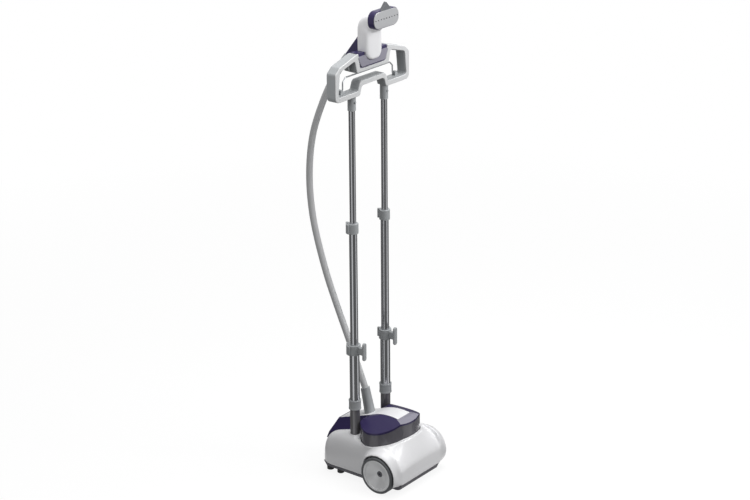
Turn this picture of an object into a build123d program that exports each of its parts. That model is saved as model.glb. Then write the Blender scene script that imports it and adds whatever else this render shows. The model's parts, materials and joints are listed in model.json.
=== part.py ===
from build123d import *
import os
from math import acos, asin, degrees, tan

os.makedirs("parts", exist_ok=True)

# Sizes are in millimetres. Positions are taken from the point on the floor midway between
# the two poles: X to the right, Y to the rear and Z up. pole_y places that point in the frame,
# so that the base is as deep in front of the origin as behind it.

# Poles
pole_spacing = 150.0
pole_y = 34.0
lower_r = 15.0
lower_wall = 1.5
mid_r = 12.0
mid_wall = 1.2
top_r = 9.5
top_wall = 1.2
slide_gap = 0.05
stub_bottom = 34.0
union_z = 237.0
lower_top = 416.0
mid_overlap = 80.0
mid_top = 799.0
top_overlap = 83.0
bush_h = 25.0

# Collars, levers and cord hooks
collar_wall = 4.0
collar_h = 30.0
pivot_off = 5.5
knuckle_r = 4.5
knuckle_h = 12.0
lever_gap = 0.8
lever_t = 4.5
lever_h = 28.0
pin_r = 1.75
hook_stem = 15.0
hook_stem_w = 12.0
hook_stem_h = 24.0
hook_plate_t = 7.0
hook_plate_w = 15.0
hook_plate_h = 57.0

# Wheels
wheel_r = 57.5
wheel_y = -126.0
wheel_w = 26.0
wheel_tuck = 2.0
hub_r = 50.0
hub_lip = 3.0
hub_boss_r = 9.0
hub_boss_len = 6.0
hub_web = 4.0
tyre_edge = 2.5
axle_r = 4.0
head_r = 6.0
head_t = 1.6
head_gap = 0.4

# Base housing
base_half = 112.0
base_front = -194.0
base_rear = 110.0
base_corner = 22.0
base_wall = 3.0
base_top = 156.0
base_top_line = [
    (base_rear, 28.0), (base_rear - 1.5, 62.0), (base_rear - 12.0, 90.0), (base_rear - 30.0, 106.0),
    (53.0, 130.0), (20.0, 141.0), (0.0, 143.0), (-23.0, 138.0), (-62.0, 128.0), (-108.0, 133.0),
    (-142.0, 141.0), (base_front + 28.0, 149.0), (base_front + 10.0, 120.0), (base_front + 2.0, 86.0),
    (base_front, 38.0),
]
base_section = [
    (base_half, 40.0), (base_half + 2.0, 80.0), (base_half - 1.0, 120.0), (base_half - 9.0, 144.0),
    (base_half - 14.0, base_top),
]
arch_gap = 3.5
arch_wall = 4.0
arch_short = 6.0
arch_low = 40.0
guard_low = 88.0
arch_root = 20.0
pole_boss = 6.0
pole_boss_low = 100.0
boss_r = 5.0
screw_r = 2.0
screw_head_r = 4.0
screw_head_t = 2.2
screw_len = 16.0
screw_spots = [(40.0, 86.0), (88.0, -20.0), (60.0, -168.0)]

# Base tray and feet
tray_inset = 4.0
tray_taper = 24.0
tray_low = 12.0
tray_t = 3.0
tray_top = 28.0
rib_t = 10.0
rib_inset = 11.5
rib_w = 26.0
rib_over = 8.0
rear_foot_r = 11.0
rear_foot_spots = [(90.0, 86.0), (90.0, 46.0)]
front_foot_spot = (21.0, -160.0)
front_foot_w = 18.0
front_foot_l = 16.0

# Water tank
tank_margin = 8.0
tank_mid = -70.0
tank_fore = 88.0
tank_aft = 72.0
tank_back = -22.0
tank_wall = 2.5
tank_floor = 90.0
tank_top = 215.0
roof_t = 6.0
roof_edge = 172.0
roof_crest = 207.0
roof_arc = [(-160.0, 196.0), (-95.0, roof_crest), (-20.0, 188.3)]
lid_half = 30.0
lid_t = 3.0
lid_front = -127.0
pocket_gap = 0.8
pocket_wall = 2.5
pocket_floor = 75.5
valve_y = -80.0
cap_r = 20.0
cap_neck_r = 15.0
cap_low = 80.0
cap_neck_t = 4.5
plunger_r = 5.0
plunger_head_r = 8.0
plunger_head_t = 2.5
plunger_gap = 0.1
valve_lift = 3.0
spring_r = 6.4
spring_wire = 0.7
spring_turns = 4.0
spring_h = 14.0
cage_r = 9.0
cage_t = 2.0
cage_leg_w = 4.0
receiver_r = 12.0
receiver_wall = 3.0
receiver_h = 3.6
receiver_pin_r = 2.0
spigot_r = 5.0
spigot_low = 64.0

# Rear cowl and lid
cowl_front = -21.0
cowl_gap = 0.4
cowl_pole_gap = 2.0
cowl_t = 3.0
cowl_drop = 0.3536
cowl_top = 188.7
cowl_edge = 36.0
cowl_side = [
    (cowl_front, 200.0), (97.0, 152.0), (126.0, 82.0), (119.0, 82.0), (30.0, 133.0), (cowl_front, 146.0),
]
rear_lid_end = 95.0

# Boiler and electrics
boiler_half = 42.0
boiler_y0 = -2.0
boiler_y1 = 78.0
boiler_low = 40.0
boiler_top = 92.0
boiler_wall = 5.0
boiler_round = 8.0
cover_t = 10.0
nipple_r = 6.0
nipple_bore = 4.0
nipple_h = 12.0
nipple_y = 6.0
post_r = 5.0
post_x = 32.0
post_y = [8.0, 68.0]
heater_r = 4.0
heater_x = 17.0
heater_y0 = 22.0
heater_end = 92.0
thermostat_r = 9.0
thermostat_t = 8.0
thermostat_z = 66.0
feed_r = 4.0
feed_bore = 2.5
feed_z = 50.0
feed_bend = 8.0
pipe_r = 9.0
pipe_top = 196.0
pipe_hole_gap = 0.4
switch_x = 58.0
switch_z = 48.0
switch_w = 22.0
switch_h = 20.0
switch_y0 = 70.0
switch_y1 = 93.0
button_r = 8.0
button_y0 = 97.0
button_y1 = 114.0
button_gap = 0.4
gland_r = 8.0
gland_bore = 3.6
gland_y0 = 103.0
gland_y1 = 117.0

# Hose and its connector
hose_r = 10.0
hose_bore = 6.5
connector_foot = (0.0, 2.0, 180.5)
connector_lean = (0.0, 0.23, 0.9732)
connector_len = 79.0
connector_sink = 14.0
connector_low_r = 17.0
connector_top_r = 14.0
hose_route_low = [(58.0, 350.0), (128.0, 505.0), (168.0, 601.0)]
hose_route_mid = [(209.0, 735.0), (223.0, 828.0), (225.0, 908.0), (217.0, 988.0), (199.0, 1062.0)]
hose_route_top = [(153.0, 1167.0), (120.0, 1222.0)]
hose_bend_share = 0.45

# Hanger
socket_r = 12.0
socket_low = 1155.0
socket_top = 1206.0
socket_depth = 40.0
snap_z = 1180.0
snap_r = 3.4
snap_gap = 0.2
snap_out = 14.5
snap_in = 6.0
snap_flange_r = 4.8
snap_flange_t = 1.5
hanger_rear = 12.0
trim_rear = -16.0
trim_front = -20.0
hanger_outline = [
    (76.0, 1319.0), (150.0, 1298.0), (170.0, 1281.0), (170.0, 1198.0), (61.0, 1198.0), (52.0, 1226.0),
]
hanger_radii = [6.0, 14.0, 10.0, 16.0, 8.0, 14.0]
hanger_opening = [
    (74.0, 1265.0), (83.0, 1301.0), (148.0, 1283.0), (156.0, 1214.0), (68.0, 1214.0), (58.0, 1241.0),
]
hanger_opening_radii = [6.0, 5.0, 10.0, 8.0, 6.0, 14.0]
trim_step = 1.6
cradle_half = 66.0
cradle_low = 1276.0
cradle_top = 1321.0
cradle_rear = 10.0
cradle_mid = -18.0
cradle_front_y = -21.0
notch_gap = 1.2
lug_x = 78.0
lug_z = 1280.0
lug_r = 11.0
lug_front = 0.0
lug_rear = 16.0

# Trouser bail
bail_r = 2.0
bail_fit = 0.05
bail_z = 1220.5
bail_leg = 115.0
bail_end = 130.0
bail_bar_z = 1257.5
bail_knee = 1246.0
bail_bar_x = 102.0
bail_bend = 5.0
bail_block_x0 = 121.0
bail_block_x1 = 131.0
bail_block_half = 6.0
bail_block_top = 1226.0

# Handset
body_half = 36.0
body_front = -30.0
body_rear = 15.0
body_low = 1294.0
body_top = 1390.0
body_corner = 13.0
body_wall = 2.5
body_round = 26.0
port_h = 42.0
neck_z = 1397.0
neck_r = 23.0
neck_rear = 10.0
bezel_rear = -46.0
bezel_front = -66.0
bezel_half = 58.0
bezel_h = 52.0
bezel_z = 1417.0
bezel_corner = 23.0
bezel_wall = 4.0
plate_t = 3.0
plate_inset = 2.0
plate_hole_r = 1.6
plate_hole_count = 9
plate_hole_pitch = 12.9
tip_half = 29.0
tip_low = 1437.0
tip_top = 1465.0
tip_depth = 7.0
grip_half = 18.0
grip_side = [(15.5, 1364.0), (67.0, 1298.0), (67.0, 1294.0), (15.5, 1294.0)]
grip_wall = 3.0
grip_bridge = 18.0
cuff_r = 14.0
cuff_end = (83.0, 1269.0)
tube_r = 5.5
tube_bore = 3.5
tube_route = [(52.0, 1302.0), (-6.0, 1336.0), (-6.0, 1403.0), (-52.0, 1403.0)]
tube_bend = 14.0

# Values that follow from the sizes above; reach is longer than any cut has to go
reach = 1000.0
pole_x = pole_spacing / 2
wheel_in = base_half - wheel_tuck
wheel_out = wheel_in + wheel_w
hub_boss_out = wheel_in + hub_boss_len
arch_out = wheel_out - arch_short
arch_r = wheel_r + arch_gap + arch_wall
well_in = wheel_in - head_gap
well_floor = well_in - base_wall
tank_half = base_half - tank_margin
cowl_half = pole_x - lower_r - cowl_pole_gap
roof_fall = (roof_crest - roof_edge) / (tank_half - lid_half)
roof_section = [(base_half, roof_edge - tank_margin * roof_fall), (lid_half, roof_crest)]
lower_bore = lower_r - lower_wall
mid_bore = mid_r - mid_wall
mid_bottom = lower_top - mid_overlap
top_bottom = mid_top - top_overlap
top_end = socket_low + socket_depth

# Planes and shared forms
stand = (Align.CENTER, Align.CENTER, Align.MIN)
hang = (Align.CENTER, Align.CENTER, Align.MAX)
both_sides = (("left", -1), ("right", 1))
home = Plane(origin=(0, pole_y, 0))
side = Plane(origin=(0, pole_y, 0), x_dir=(0, 1, 0), z_dir=(1, 0, 0))
front = Plane(origin=(0, pole_y, 0), x_dir=(1, 0, 0), z_dir=(0, -1, 0))


def level(z):
    return home.offset(z)


def facing(y):
    return front.offset(-y)


def save(piece, name):
    piece.part.label = name
    export_step(piece.part, f"parts/{name}.step")


def both(points):
    return list(points) + [(-x, z) for x, z in reversed(points)]


def pipes(radius, bore, bottom, top):
    with Locations((-pole_x, 0, bottom), (pole_x, 0, bottom)):
        Cylinder(radius, top - bottom, align=stand)
        Cylinder(bore, top - bottom, align=stand, mode=Mode.SUBTRACT)


def base_form(inset, drop):
    skirt = [(base_front, -drop), (base_rear, -drop)] if drop else []
    with BuildPart() as form:
        with BuildSketch(level(-drop)):
            with Locations((0, (base_front + base_rear) / 2)):
                RectangleRounded(
                    2 * (base_half + base_wall - inset),
                    base_rear - base_front - 2 * inset,
                    base_corner - inset,
                )
        extrude(amount=base_top + drop)
        with BuildSketch(side):
            with BuildLine():
                Polyline(*base_top_line, *skirt, close=True)
            make_face()
            offset(amount=-inset, kind=Kind.INTERSECTION)
        extrude(amount=reach, both=True, mode=Mode.INTERSECT)
        with BuildSketch(front):
            with BuildLine():
                Polyline((base_half, -drop), *both(base_section), (-base_half, -drop), close=True)
            make_face()
            offset(amount=-inset, kind=Kind.INTERSECTION)
        extrude(amount=reach, both=True, mode=Mode.INTERSECT)
    return home.to_local_coords(form.part)


def tank_outline(grow):
    half = tank_half + grow
    fore = tank_fore + grow
    aft = tank_aft + grow
    turn = degrees(asin((tank_back + grow - tank_mid) / aft))
    with BuildLine() as rim:
        EllipticalCenterArc((0, tank_mid), half, fore, 180, arc_size=180)
        right = EllipticalCenterArc((0, tank_mid), half, aft, 0, arc_size=turn)
        left = EllipticalCenterArc((0, tank_mid), half, aft, 180 - turn, arc_size=turn)
        Line(right @ 1, left @ 0)
    make_face(rim.edges())


def tank_form(grow, low, drop):
    with BuildPart() as form:
        with BuildSketch(level(low)):
            tank_outline(grow)
        extrude(amount=tank_top - low)
        with BuildSketch(front.offset(-tank_back)):
            with BuildLine():
                ridge = [(x, z - drop) for x, z in both(roof_section)]
                Polyline((base_half, 0), *ridge, (-base_half, 0), close=True)
            make_face()
        extrude(amount=reach, both=True, mode=Mode.INTERSECT)
        with BuildSketch(side):
            with BuildLine():
                arc = ThreePointArc(*[(y, z - drop) for y, z in roof_arc])
                Polyline(arc @ 1, (roof_arc[2][0], 0), (roof_arc[0][0], 0), arc @ 0)
            make_face()
        extrude(amount=reach, both=True, mode=Mode.INTERSECT)
    return home.to_local_coords(form.part)


def cowl_form(inset):
    run = cowl_side[2][0] - cowl_front
    edge = (cowl_half - inset, cowl_top - cowl_edge - inset)
    crest = (lid_half, cowl_top - inset)
    with BuildPart() as form:
        with BuildSketch(facing(cowl_front)):
            with BuildLine():
                Polyline(*both([crest, edge, (edge[0], 0)]), close=True)
            make_face()
        extrude(amount=run * (1 + cowl_drop ** 2) ** 0.5, dir=(0, 1, -cowl_drop))
        with BuildSketch(side):
            with BuildLine():
                Polyline(*cowl_side, close=True)
            make_face()
            if inset > 0:
                offset(amount=-inset, kind=Kind.INTERSECTION)
                with Locations((cowl_front + inset, 0)):
                    Rectangle(cowl_side[4][0] - cowl_front, cowl_side[5][1] + inset, align=Align.MIN)
            if inset < 0:
                offset(amount=-inset, kind=Kind.INTERSECTION)
        extrude(amount=reach, both=True, mode=Mode.INTERSECT)
    return home.to_local_coords(form.part)


def screw_places(z):
    return [(sx * x, y, z) for x, y in screw_spots for sx in (-1, 1)]


# Poles
with BuildPart(home) as pole_stubs:
    pipes(lower_r, lower_bore, stub_bottom, union_z)
save(pole_stubs, "pole_stubs")

with BuildPart(home) as lower_tubes:
    pipes(lower_r, lower_bore, union_z, lower_top)
save(lower_tubes, "lower_tubes")

with BuildPart(home) as union_collars:
    pipes(lower_r + collar_wall, lower_r, union_z - collar_h / 2, union_z + collar_h / 2)
save(union_collars, "union_collars")

with BuildPart(home) as mid_tubes:
    pipes(mid_r, mid_bore, mid_bottom, mid_top)
save(mid_tubes, "mid_tubes")

with BuildPart(home) as mid_bushes:
    pipes(lower_bore - slide_gap, mid_r, mid_bottom, mid_bottom + bush_h)
save(mid_bushes, "mid_bushes")

with BuildPart(home) as top_tubes:
    pipes(top_r, top_r - top_wall, top_bottom, top_end)
    with Locations(*[Location((sx * pole_x, 0, snap_z), (90, 0, 0)) for sx in (-1, 1)]):
        Cylinder(snap_r + snap_gap, socket_r, align=stand, mode=Mode.SUBTRACT)
save(top_tubes, "top_tubes")

with BuildPart(home) as top_bushes:
    pipes(mid_bore - slide_gap, top_r, top_bottom, top_bottom + bush_h)
save(top_bushes, "top_bushes")


# Clamp collars: the lower half holds the outer tube and the upper half guides the inner one.
def clamp_collars(outer, inner, z):
    low = z - collar_h / 2
    ring = outer + collar_wall
    with Locations((-pole_x, 0, low), (pole_x, 0, low)):
        Cylinder(ring, collar_h, align=stand)
    with Locations(*[(sx * pole_x, outer + collar_wall / 2, z) for sx in (-1, 1)]):
        Box(
            2 * knuckle_r, pivot_off + collar_wall / 2, knuckle_h,
            align=(Align.CENTER, Align.MIN, Align.CENTER),
        )
    with Locations(*[(sx * pole_x, ring + pivot_off, z) for sx in (-1, 1)]):
        Cylinder(knuckle_r, knuckle_h)
        Cylinder(pin_r, knuckle_h, mode=Mode.SUBTRACT)
    with Locations((-pole_x, 0, low), (pole_x, 0, low)):
        Cylinder(outer, collar_h / 2, align=stand, mode=Mode.SUBTRACT)
        Cylinder(inner + slide_gap, collar_h, align=stand, mode=Mode.SUBTRACT)


def lever_pins(outer, z):
    with Locations(*[(sx * pole_x, outer + collar_wall + pivot_off, z) for sx in (-1, 1)]):
        Cylinder(pin_r, lever_h)


def clamp_lever(sign, outer, z):
    ring = outer + collar_wall + lever_gap
    pivot = outer + collar_wall + pivot_off
    outboard = Align.MIN if sign > 0 else Align.MAX
    with BuildSketch(level(z - lever_h / 2)) as arm:
        with Locations((sign * pole_x, 0)):
            Circle(ring + lever_t)
            Circle(ring, mode=Mode.SUBTRACT)
            Rectangle(2 * pivot, 2 * pivot, align=(outboard, Align.MIN), mode=Mode.INTERSECT)
        with Locations((sign * pole_x, pivot)):
            Circle(knuckle_r)
    extrude(arm.sketch, amount=lever_h)
    with Locations((sign * pole_x, pivot, z)):
        Cylinder(knuckle_r + lever_gap, knuckle_h + lever_gap, mode=Mode.SUBTRACT)
        Box(
            2 * (knuckle_r + lever_gap), 2 * pivot_off, knuckle_h + lever_gap,
            align=(Align.CENTER, Align.MAX, Align.CENTER), mode=Mode.SUBTRACT,
        )
        Cylinder(pin_r + slide_gap, lever_h, mode=Mode.SUBTRACT)


with BuildPart(home) as lower_clamps:
    clamp_collars(lower_r, mid_r, lower_top)
save(lower_clamps, "lower_clamps")

with BuildPart(home) as mid_clamps:
    clamp_collars(mid_r, top_r, mid_top)
save(mid_clamps, "mid_clamps")

with BuildPart(home) as lower_lever_pins:
    lever_pins(lower_r, lower_top)
save(lower_lever_pins, "lower_lever_pins")

with BuildPart(home) as mid_lever_pins:
    lever_pins(mid_r, mid_top)
save(mid_lever_pins, "mid_lever_pins")

for name, sign in both_sides:
    with BuildPart(home) as lower_lever:
        clamp_lever(sign, lower_r, lower_top)
    save(lower_lever, f"{name}_lower_lever")
    with BuildPart(home) as mid_lever:
        clamp_lever(sign, mid_r, mid_top)
    save(mid_lever, f"{name}_mid_lever")

with BuildPart(home) as cord_hooks:
    hook_y = lower_r + collar_wall + hook_stem
    for name, sign in both_sides:
        with Locations((sign * pole_x, -hook_y, lower_top)):
            Box(
                hook_stem_w, hook_stem + collar_wall, hook_stem_h,
                align=(Align.CENTER, Align.MIN, Align.CENTER),
            )
            Box(
                hook_plate_w, hook_plate_t, hook_plate_h,
                align=(Align.CENTER, Align.MAX, Align.CENTER),
            )
    with Locations((-pole_x, 0, lower_top), (pole_x, 0, lower_top)):
        Cylinder(lower_r + collar_wall, hook_plate_h, mode=Mode.SUBTRACT)
save(cord_hooks, "cord_hooks")


# Wheels and axle
def axle_plane(sign):
    return Plane(origin=(0, pole_y + wheel_y, wheel_r), x_dir=(sign, 0, 0), z_dir=(0, -sign, 0))


axle_line = Axis((0, pole_y + wheel_y, wheel_r), (1, 0, 0))
hub_bore = axle_r + slide_gap
hub_face = wheel_out - hub_lip
for name, sign in both_sides:
    with BuildPart() as hub:
        with BuildSketch(axle_plane(sign)):
            with BuildLine():
                Polyline(
                    (wheel_in, hub_bore), (hub_boss_out, hub_bore), (hub_boss_out, hub_boss_r),
                    (hub_face, hub_r - hub_web), (wheel_out, hub_r - hub_lip), (wheel_out, hub_r),
                    (wheel_in, hub_r), (wheel_in, hub_r - hub_lip), (hub_face - hub_web, hub_r - hub_lip),
                    (hub_boss_out - hub_web, hub_boss_r), (wheel_in, hub_boss_r), close=True,
                )
            make_face()
        revolve(axis=axle_line)
    save(hub, f"{name}_wheel_hub")
    with BuildPart() as tyre:
        with BuildSketch(axle_plane(sign)):
            with BuildLine():
                Polyline(
                    (wheel_in, hub_r), (wheel_out, hub_r), (wheel_out, wheel_r - tyre_edge),
                    (wheel_out - tyre_edge, wheel_r), (wheel_in + tyre_edge, wheel_r),
                    (wheel_in, wheel_r - tyre_edge), close=True,
                )
            make_face()
        revolve(axis=axle_line)
    save(tyre, f"{name}_tyre")

axle_half = hub_boss_out + head_gap + head_t
with BuildPart(home) as axle:
    with Locations(Location((0, wheel_y, wheel_r), (0, 90, 0))):
        Cylinder(axle_r, 2 * axle_half)
    for name, sign in both_sides:
        with Locations(Location((sign * (axle_half - head_t / 2), wheel_y, wheel_r), (0, 90, 0))):
            Cylinder(head_r, head_t)
save(axle, "axle")

# Base housing
base_outer = base_form(0, 0)
base_inner = base_form(base_wall, arch_root)
cowl_clear = cowl_form(-cowl_gap)
with BuildPart(home) as base_posts:
    with BuildSketch(level(pocket_floor - pocket_wall)):
        tank_outline(pocket_gap + pocket_wall)
    extrude(amount=base_top)
    pipes(lower_r + pole_boss, lower_r, pole_boss_low, base_top)
    with Locations(*screw_places(tray_low + tray_t)):
        Cylinder(boss_r, base_top, align=stand)
    add(base_outer, mode=Mode.INTERSECT)

# Each wheel well is a cup in the housing's side with a guard over the wheel
with BuildPart(home) as wheel_arches:
    for name, sign in both_sides:
        outward = Align.MIN if sign > 0 else Align.MAX
        with Locations(Location((sign * well_floor, wheel_y, wheel_r), (0, sign * 90, 0))):
            Cylinder(arch_r, arch_out - well_floor, align=stand)
        with Locations((sign * base_half, wheel_y, guard_low)):
            Box(reach, arch_r, reach, align=(outward, Align.MAX, Align.MAX), mode=Mode.SUBTRACT)
    with Locations((0, 0, arch_low)):
        Box(reach, reach, reach, align=hang, mode=Mode.SUBTRACT)

with BuildPart(home) as base_shell:
    add(base_outer)
    add(base_inner, mode=Mode.SUBTRACT)
    add(home.to_local_coords(wheel_arches.part))
    for name, sign in both_sides:
        with Locations(Location((sign * well_in, wheel_y, wheel_r), (0, sign * 90, 0))):
            Cylinder(wheel_r + arch_gap, reach, align=stand, mode=Mode.SUBTRACT)
    add(home.to_local_coords(base_posts.part))
    with BuildSketch(level(pocket_floor)):
        tank_outline(pocket_gap)
    extrude(amount=base_top, mode=Mode.SUBTRACT)
    add(cowl_clear, mode=Mode.SUBTRACT)
    with Locations((-pole_x, 0, 0), (pole_x, 0, 0)):
        Cylinder(lower_r, reach, mode=Mode.SUBTRACT)
    with Locations(Location((0, wheel_y, wheel_r), (0, 90, 0))):
        Cylinder(axle_r + slide_gap, reach, mode=Mode.SUBTRACT)
    with Locations(*screw_places(tray_low)):
        Cylinder(screw_r, screw_len, align=stand, mode=Mode.SUBTRACT)
    with Locations((0, valve_y, 0)):
        Cylinder(spigot_r, reach, mode=Mode.SUBTRACT)
    with Locations((0, nipple_y, 0)):
        Cylinder(pipe_r + pipe_hole_gap, reach, mode=Mode.SUBTRACT)
    with Locations(Location((switch_x, button_y0, switch_z), (-90, 0, 0))):
        Cylinder(button_r + button_gap, button_y1 - button_y0, align=stand, mode=Mode.SUBTRACT)
    with Locations(Location((-switch_x, gland_y0, switch_z), (-90, 0, 0))):
        Cylinder(gland_r, gland_y1 - gland_y0, align=stand, mode=Mode.SUBTRACT)
save(base_shell, "base_shell")

# Base tray with the axle ribs, the boiler posts and the seats of the two poles
with BuildPart(home) as base_tray:
    for grow, floor, mode in ((0, tray_low, Mode.ADD), (tray_t, tray_low + tray_t, Mode.SUBTRACT)):
        with BuildSketch(level(tray_top)):
            with Locations((0, (base_front + base_rear) / 2)):
                RectangleRounded(
                    2 * (base_half - tray_inset - grow),
                    base_rear - base_front - 2 * (tray_inset + grow),
                    base_corner - tray_inset - grow,
                )
        extrude(amount=floor - tray_top, taper=tray_taper, mode=mode)
    with Locations(*[(s * (base_half - rib_inset), wheel_y, tray_low + tray_t) for s in (-1, 1)]):
        Box(rib_t, rib_w, wheel_r + rib_over - tray_low - tray_t, align=stand)
    with Locations(Location((0, wheel_y, wheel_r), (0, 90, 0))):
        Cylinder(axle_r, reach, mode=Mode.SUBTRACT)
    with Locations((-pole_x, 0, tray_low + tray_t), (pole_x, 0, tray_low + tray_t)):
        Cylinder(lower_r, stub_bottom - tray_low - tray_t, align=stand)
    with Locations(*[(s * post_x, y, tray_low + tray_t) for y in post_y for s in (-1, 1)]):
        Cylinder(post_r, boiler_low - tray_low - tray_t, align=stand)
    with Locations((switch_x, (switch_y0 + switch_y1) / 2, tray_low + tray_t)):
        Cylinder(post_r, switch_z - switch_h / 2 - tray_low - tray_t, align=stand)
    with Locations(*screw_places(tray_low)):
        Cylinder(screw_r, tray_t, align=stand, mode=Mode.SUBTRACT)
save(base_tray, "base_tray")

with BuildPart(home) as tray_screws:
    with Locations(*screw_places(tray_low)):
        Cylinder(screw_r, screw_len, align=stand)
        Cylinder(screw_head_r, screw_head_t, align=hang)
save(tray_screws, "tray_screws")

with BuildPart(home) as floor_feet:
    with Locations(*[(s * x, y, 0) for x, y in rear_foot_spots for s in (-1, 1)]):
        Cylinder(rear_foot_r, tray_low, align=stand)
    with Locations(*[(s * front_foot_spot[0], front_foot_spot[1], 0) for s in (-1, 1)]):
        Box(front_foot_w, front_foot_l, tray_low, align=stand)
save(floor_feet, "floor_feet")

# Water tank
lid_low = tank_form(0, tank_floor, lid_t)
roof_low = tank_form(0, tank_floor, roof_t)
tank_whole = tank_form(0, tank_floor, 0)
tank_inside = tank_form(-tank_wall, tank_floor + tank_wall, 0)
with BuildPart(home) as tank_lid:
    add(tank_whole)
    add(lid_low, mode=Mode.SUBTRACT)
    with Locations((0, lid_front, 0)):
        Box(
            2 * lid_half, reach, reach,
            align=(Align.CENTER, Align.MIN, Align.MIN), mode=Mode.INTERSECT,
        )
save(tank_lid, "tank_lid")

with BuildPart(home) as tank_roof:
    add(tank_whole)
    add(roof_low, mode=Mode.SUBTRACT)
    add(home.to_local_coords(tank_lid.part), mode=Mode.SUBTRACT)
save(tank_roof, "tank_roof")

with BuildPart(home) as tank_bowl:
    add(roof_low)
    add(tank_inside, mode=Mode.SUBTRACT)
    with Locations((0, valve_y, tank_floor)):
        Cylinder(cap_neck_r, tank_wall, align=stand, mode=Mode.SUBTRACT)
save(tank_bowl, "tank_bowl")

# Filler cap with the cage that holds the valve spring down
cage_top = tank_floor + cap_neck_t + plunger_head_t + valve_lift + spring_h
with BuildPart(home) as filler_cap:
    with Locations((0, valve_y, cap_low)):
        Cylinder(cap_r, tank_floor - cap_low, align=stand)
        Cylinder(cap_neck_r, tank_floor + cap_neck_t - cap_low, align=stand)
    with Locations((0, valve_y, tank_floor + cap_neck_t)):
        Box(2 * (cage_r + cage_t), cage_leg_w, cage_top + cage_t - tank_floor - cap_neck_t, align=stand)
        Box(2 * cage_r, cage_leg_w, cage_top - tank_floor - cap_neck_t, align=stand, mode=Mode.SUBTRACT)
    cap_h = tank_floor + cap_neck_t - cap_low
    with Locations((0, valve_y, cap_low)):
        Cylinder(plunger_r + plunger_gap, cap_h, align=stand, mode=Mode.SUBTRACT)
save(filler_cap, "filler_cap")

plunger_low = cap_low
head_z = tank_floor + cap_neck_t + valve_lift
with BuildPart(home) as valve_plunger:
    with Locations((0, valve_y, plunger_low)):
        Cylinder(plunger_r, head_z - plunger_low, align=stand)
    with Locations((0, valve_y, head_z)):
        Cylinder(plunger_head_r, plunger_head_t, align=stand)
save(valve_plunger, "valve_plunger")

with BuildPart(home) as valve_spring:
    spring_low = head_z + plunger_head_t + spring_wire
    spring_rise = cage_top - spring_wire - spring_low
    with BuildLine(Plane(origin=(0, pole_y + valve_y, spring_low))) as coil:
        Helix(spring_rise / spring_turns, spring_rise, spring_r)
    with BuildSketch(Plane(origin=coil.line @ 0, z_dir=coil.line % 0)):
        Circle(spring_wire)
    sweep(is_frenet=True)
save(valve_spring, "valve_spring")

with BuildPart(home) as valve_receiver:
    with Locations((0, valve_y, pocket_floor)):
        Cylinder(receiver_r, receiver_h, align=stand)
        Cylinder(receiver_r - receiver_wall, receiver_h, align=stand, mode=Mode.SUBTRACT)
        Box(2 * receiver_r - receiver_wall, 2 * receiver_pin_r, receiver_h / 2, align=stand)
        Cylinder(receiver_pin_r, plunger_low - pocket_floor - plunger_gap, align=stand)
    with Locations((0, valve_y, spigot_low)):
        Cylinder(spigot_r, pocket_floor - spigot_low, align=stand)
        Cylinder(feed_r, pocket_floor - spigot_low, align=stand, mode=Mode.SUBTRACT)
save(valve_receiver, "valve_receiver")

# Rear cowl and its lid strip, both pierced for the steam pipe
lid_plane = Plane(origin=(0, pole_y + cowl_front, cowl_top), x_dir=(1, 0, 0), z_dir=(0, cowl_drop, 1))
lid_slope = (1 + cowl_drop ** 2) ** 0.5
lid_run = (rear_lid_end - cowl_front) * lid_slope
seat_run = lid_run + cowl_t * lid_slope
with BuildPart(home) as rear_lid:
    with BuildSketch(facing(cowl_front)):
        with Locations((0, cowl_top)):
            Rectangle(2 * lid_half, lid_t, align=(Align.CENTER, Align.MAX))
    extrude(amount=lid_run, dir=(0, 1, -cowl_drop))
    with Locations((0, nipple_y, 0)):
        Cylinder(pipe_r + pipe_hole_gap, reach, mode=Mode.SUBTRACT)
save(rear_lid, "rear_lid")

with BuildPart(home) as cowl_hollow:
    add(cowl_form(cowl_t))
    with BuildSketch(facing(cowl_front)):
        with Locations((0, cowl_top - lid_t - cowl_t)):
            Rectangle(2 * lid_half + 2 * lid_t, 2 * cowl_t, align=(Align.CENTER, Align.MIN))
    extrude(amount=seat_run, dir=(0, 1, -cowl_drop), mode=Mode.SUBTRACT)

with BuildPart(home) as rear_cowl:
    add(cowl_form(0))
    add(home.to_local_coords(cowl_hollow.part), mode=Mode.SUBTRACT)
    with BuildSketch(facing(cowl_front)):
        with Locations((0, cowl_top)):
            Rectangle(2 * lid_half, 2 * lid_t, align=Align.CENTER)
    extrude(amount=lid_run, dir=(0, 1, -cowl_drop), mode=Mode.SUBTRACT)
    with Locations((0, nipple_y, 0)):
        Cylinder(pipe_r + pipe_hole_gap, reach, mode=Mode.SUBTRACT)
save(rear_cowl, "rear_cowl")

# Boiler, heating and steam way
boiler_mid = (boiler_y0 + boiler_y1) / 2
boiler_len = boiler_y1 - boiler_y0
with BuildPart(home) as boiler:
    with BuildSketch(level(boiler_low)):
        with Locations((0, boiler_mid)):
            RectangleRounded(2 * boiler_half, boiler_len, boiler_round)
    extrude(amount=boiler_top - boiler_low)
    with BuildSketch(level(boiler_low + boiler_wall)):
        with Locations((0, boiler_mid)):
            RectangleRounded(
                2 * (boiler_half - boiler_wall), boiler_len - 2 * boiler_wall, boiler_round - boiler_wall,
            )
    extrude(amount=boiler_top, mode=Mode.SUBTRACT)
    with Locations(Location((0, boiler_y0, feed_z), (-90, 0, 0))):
        Cylinder(feed_bore, 2 * boiler_wall, mode=Mode.SUBTRACT)
save(boiler, "boiler")

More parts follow.
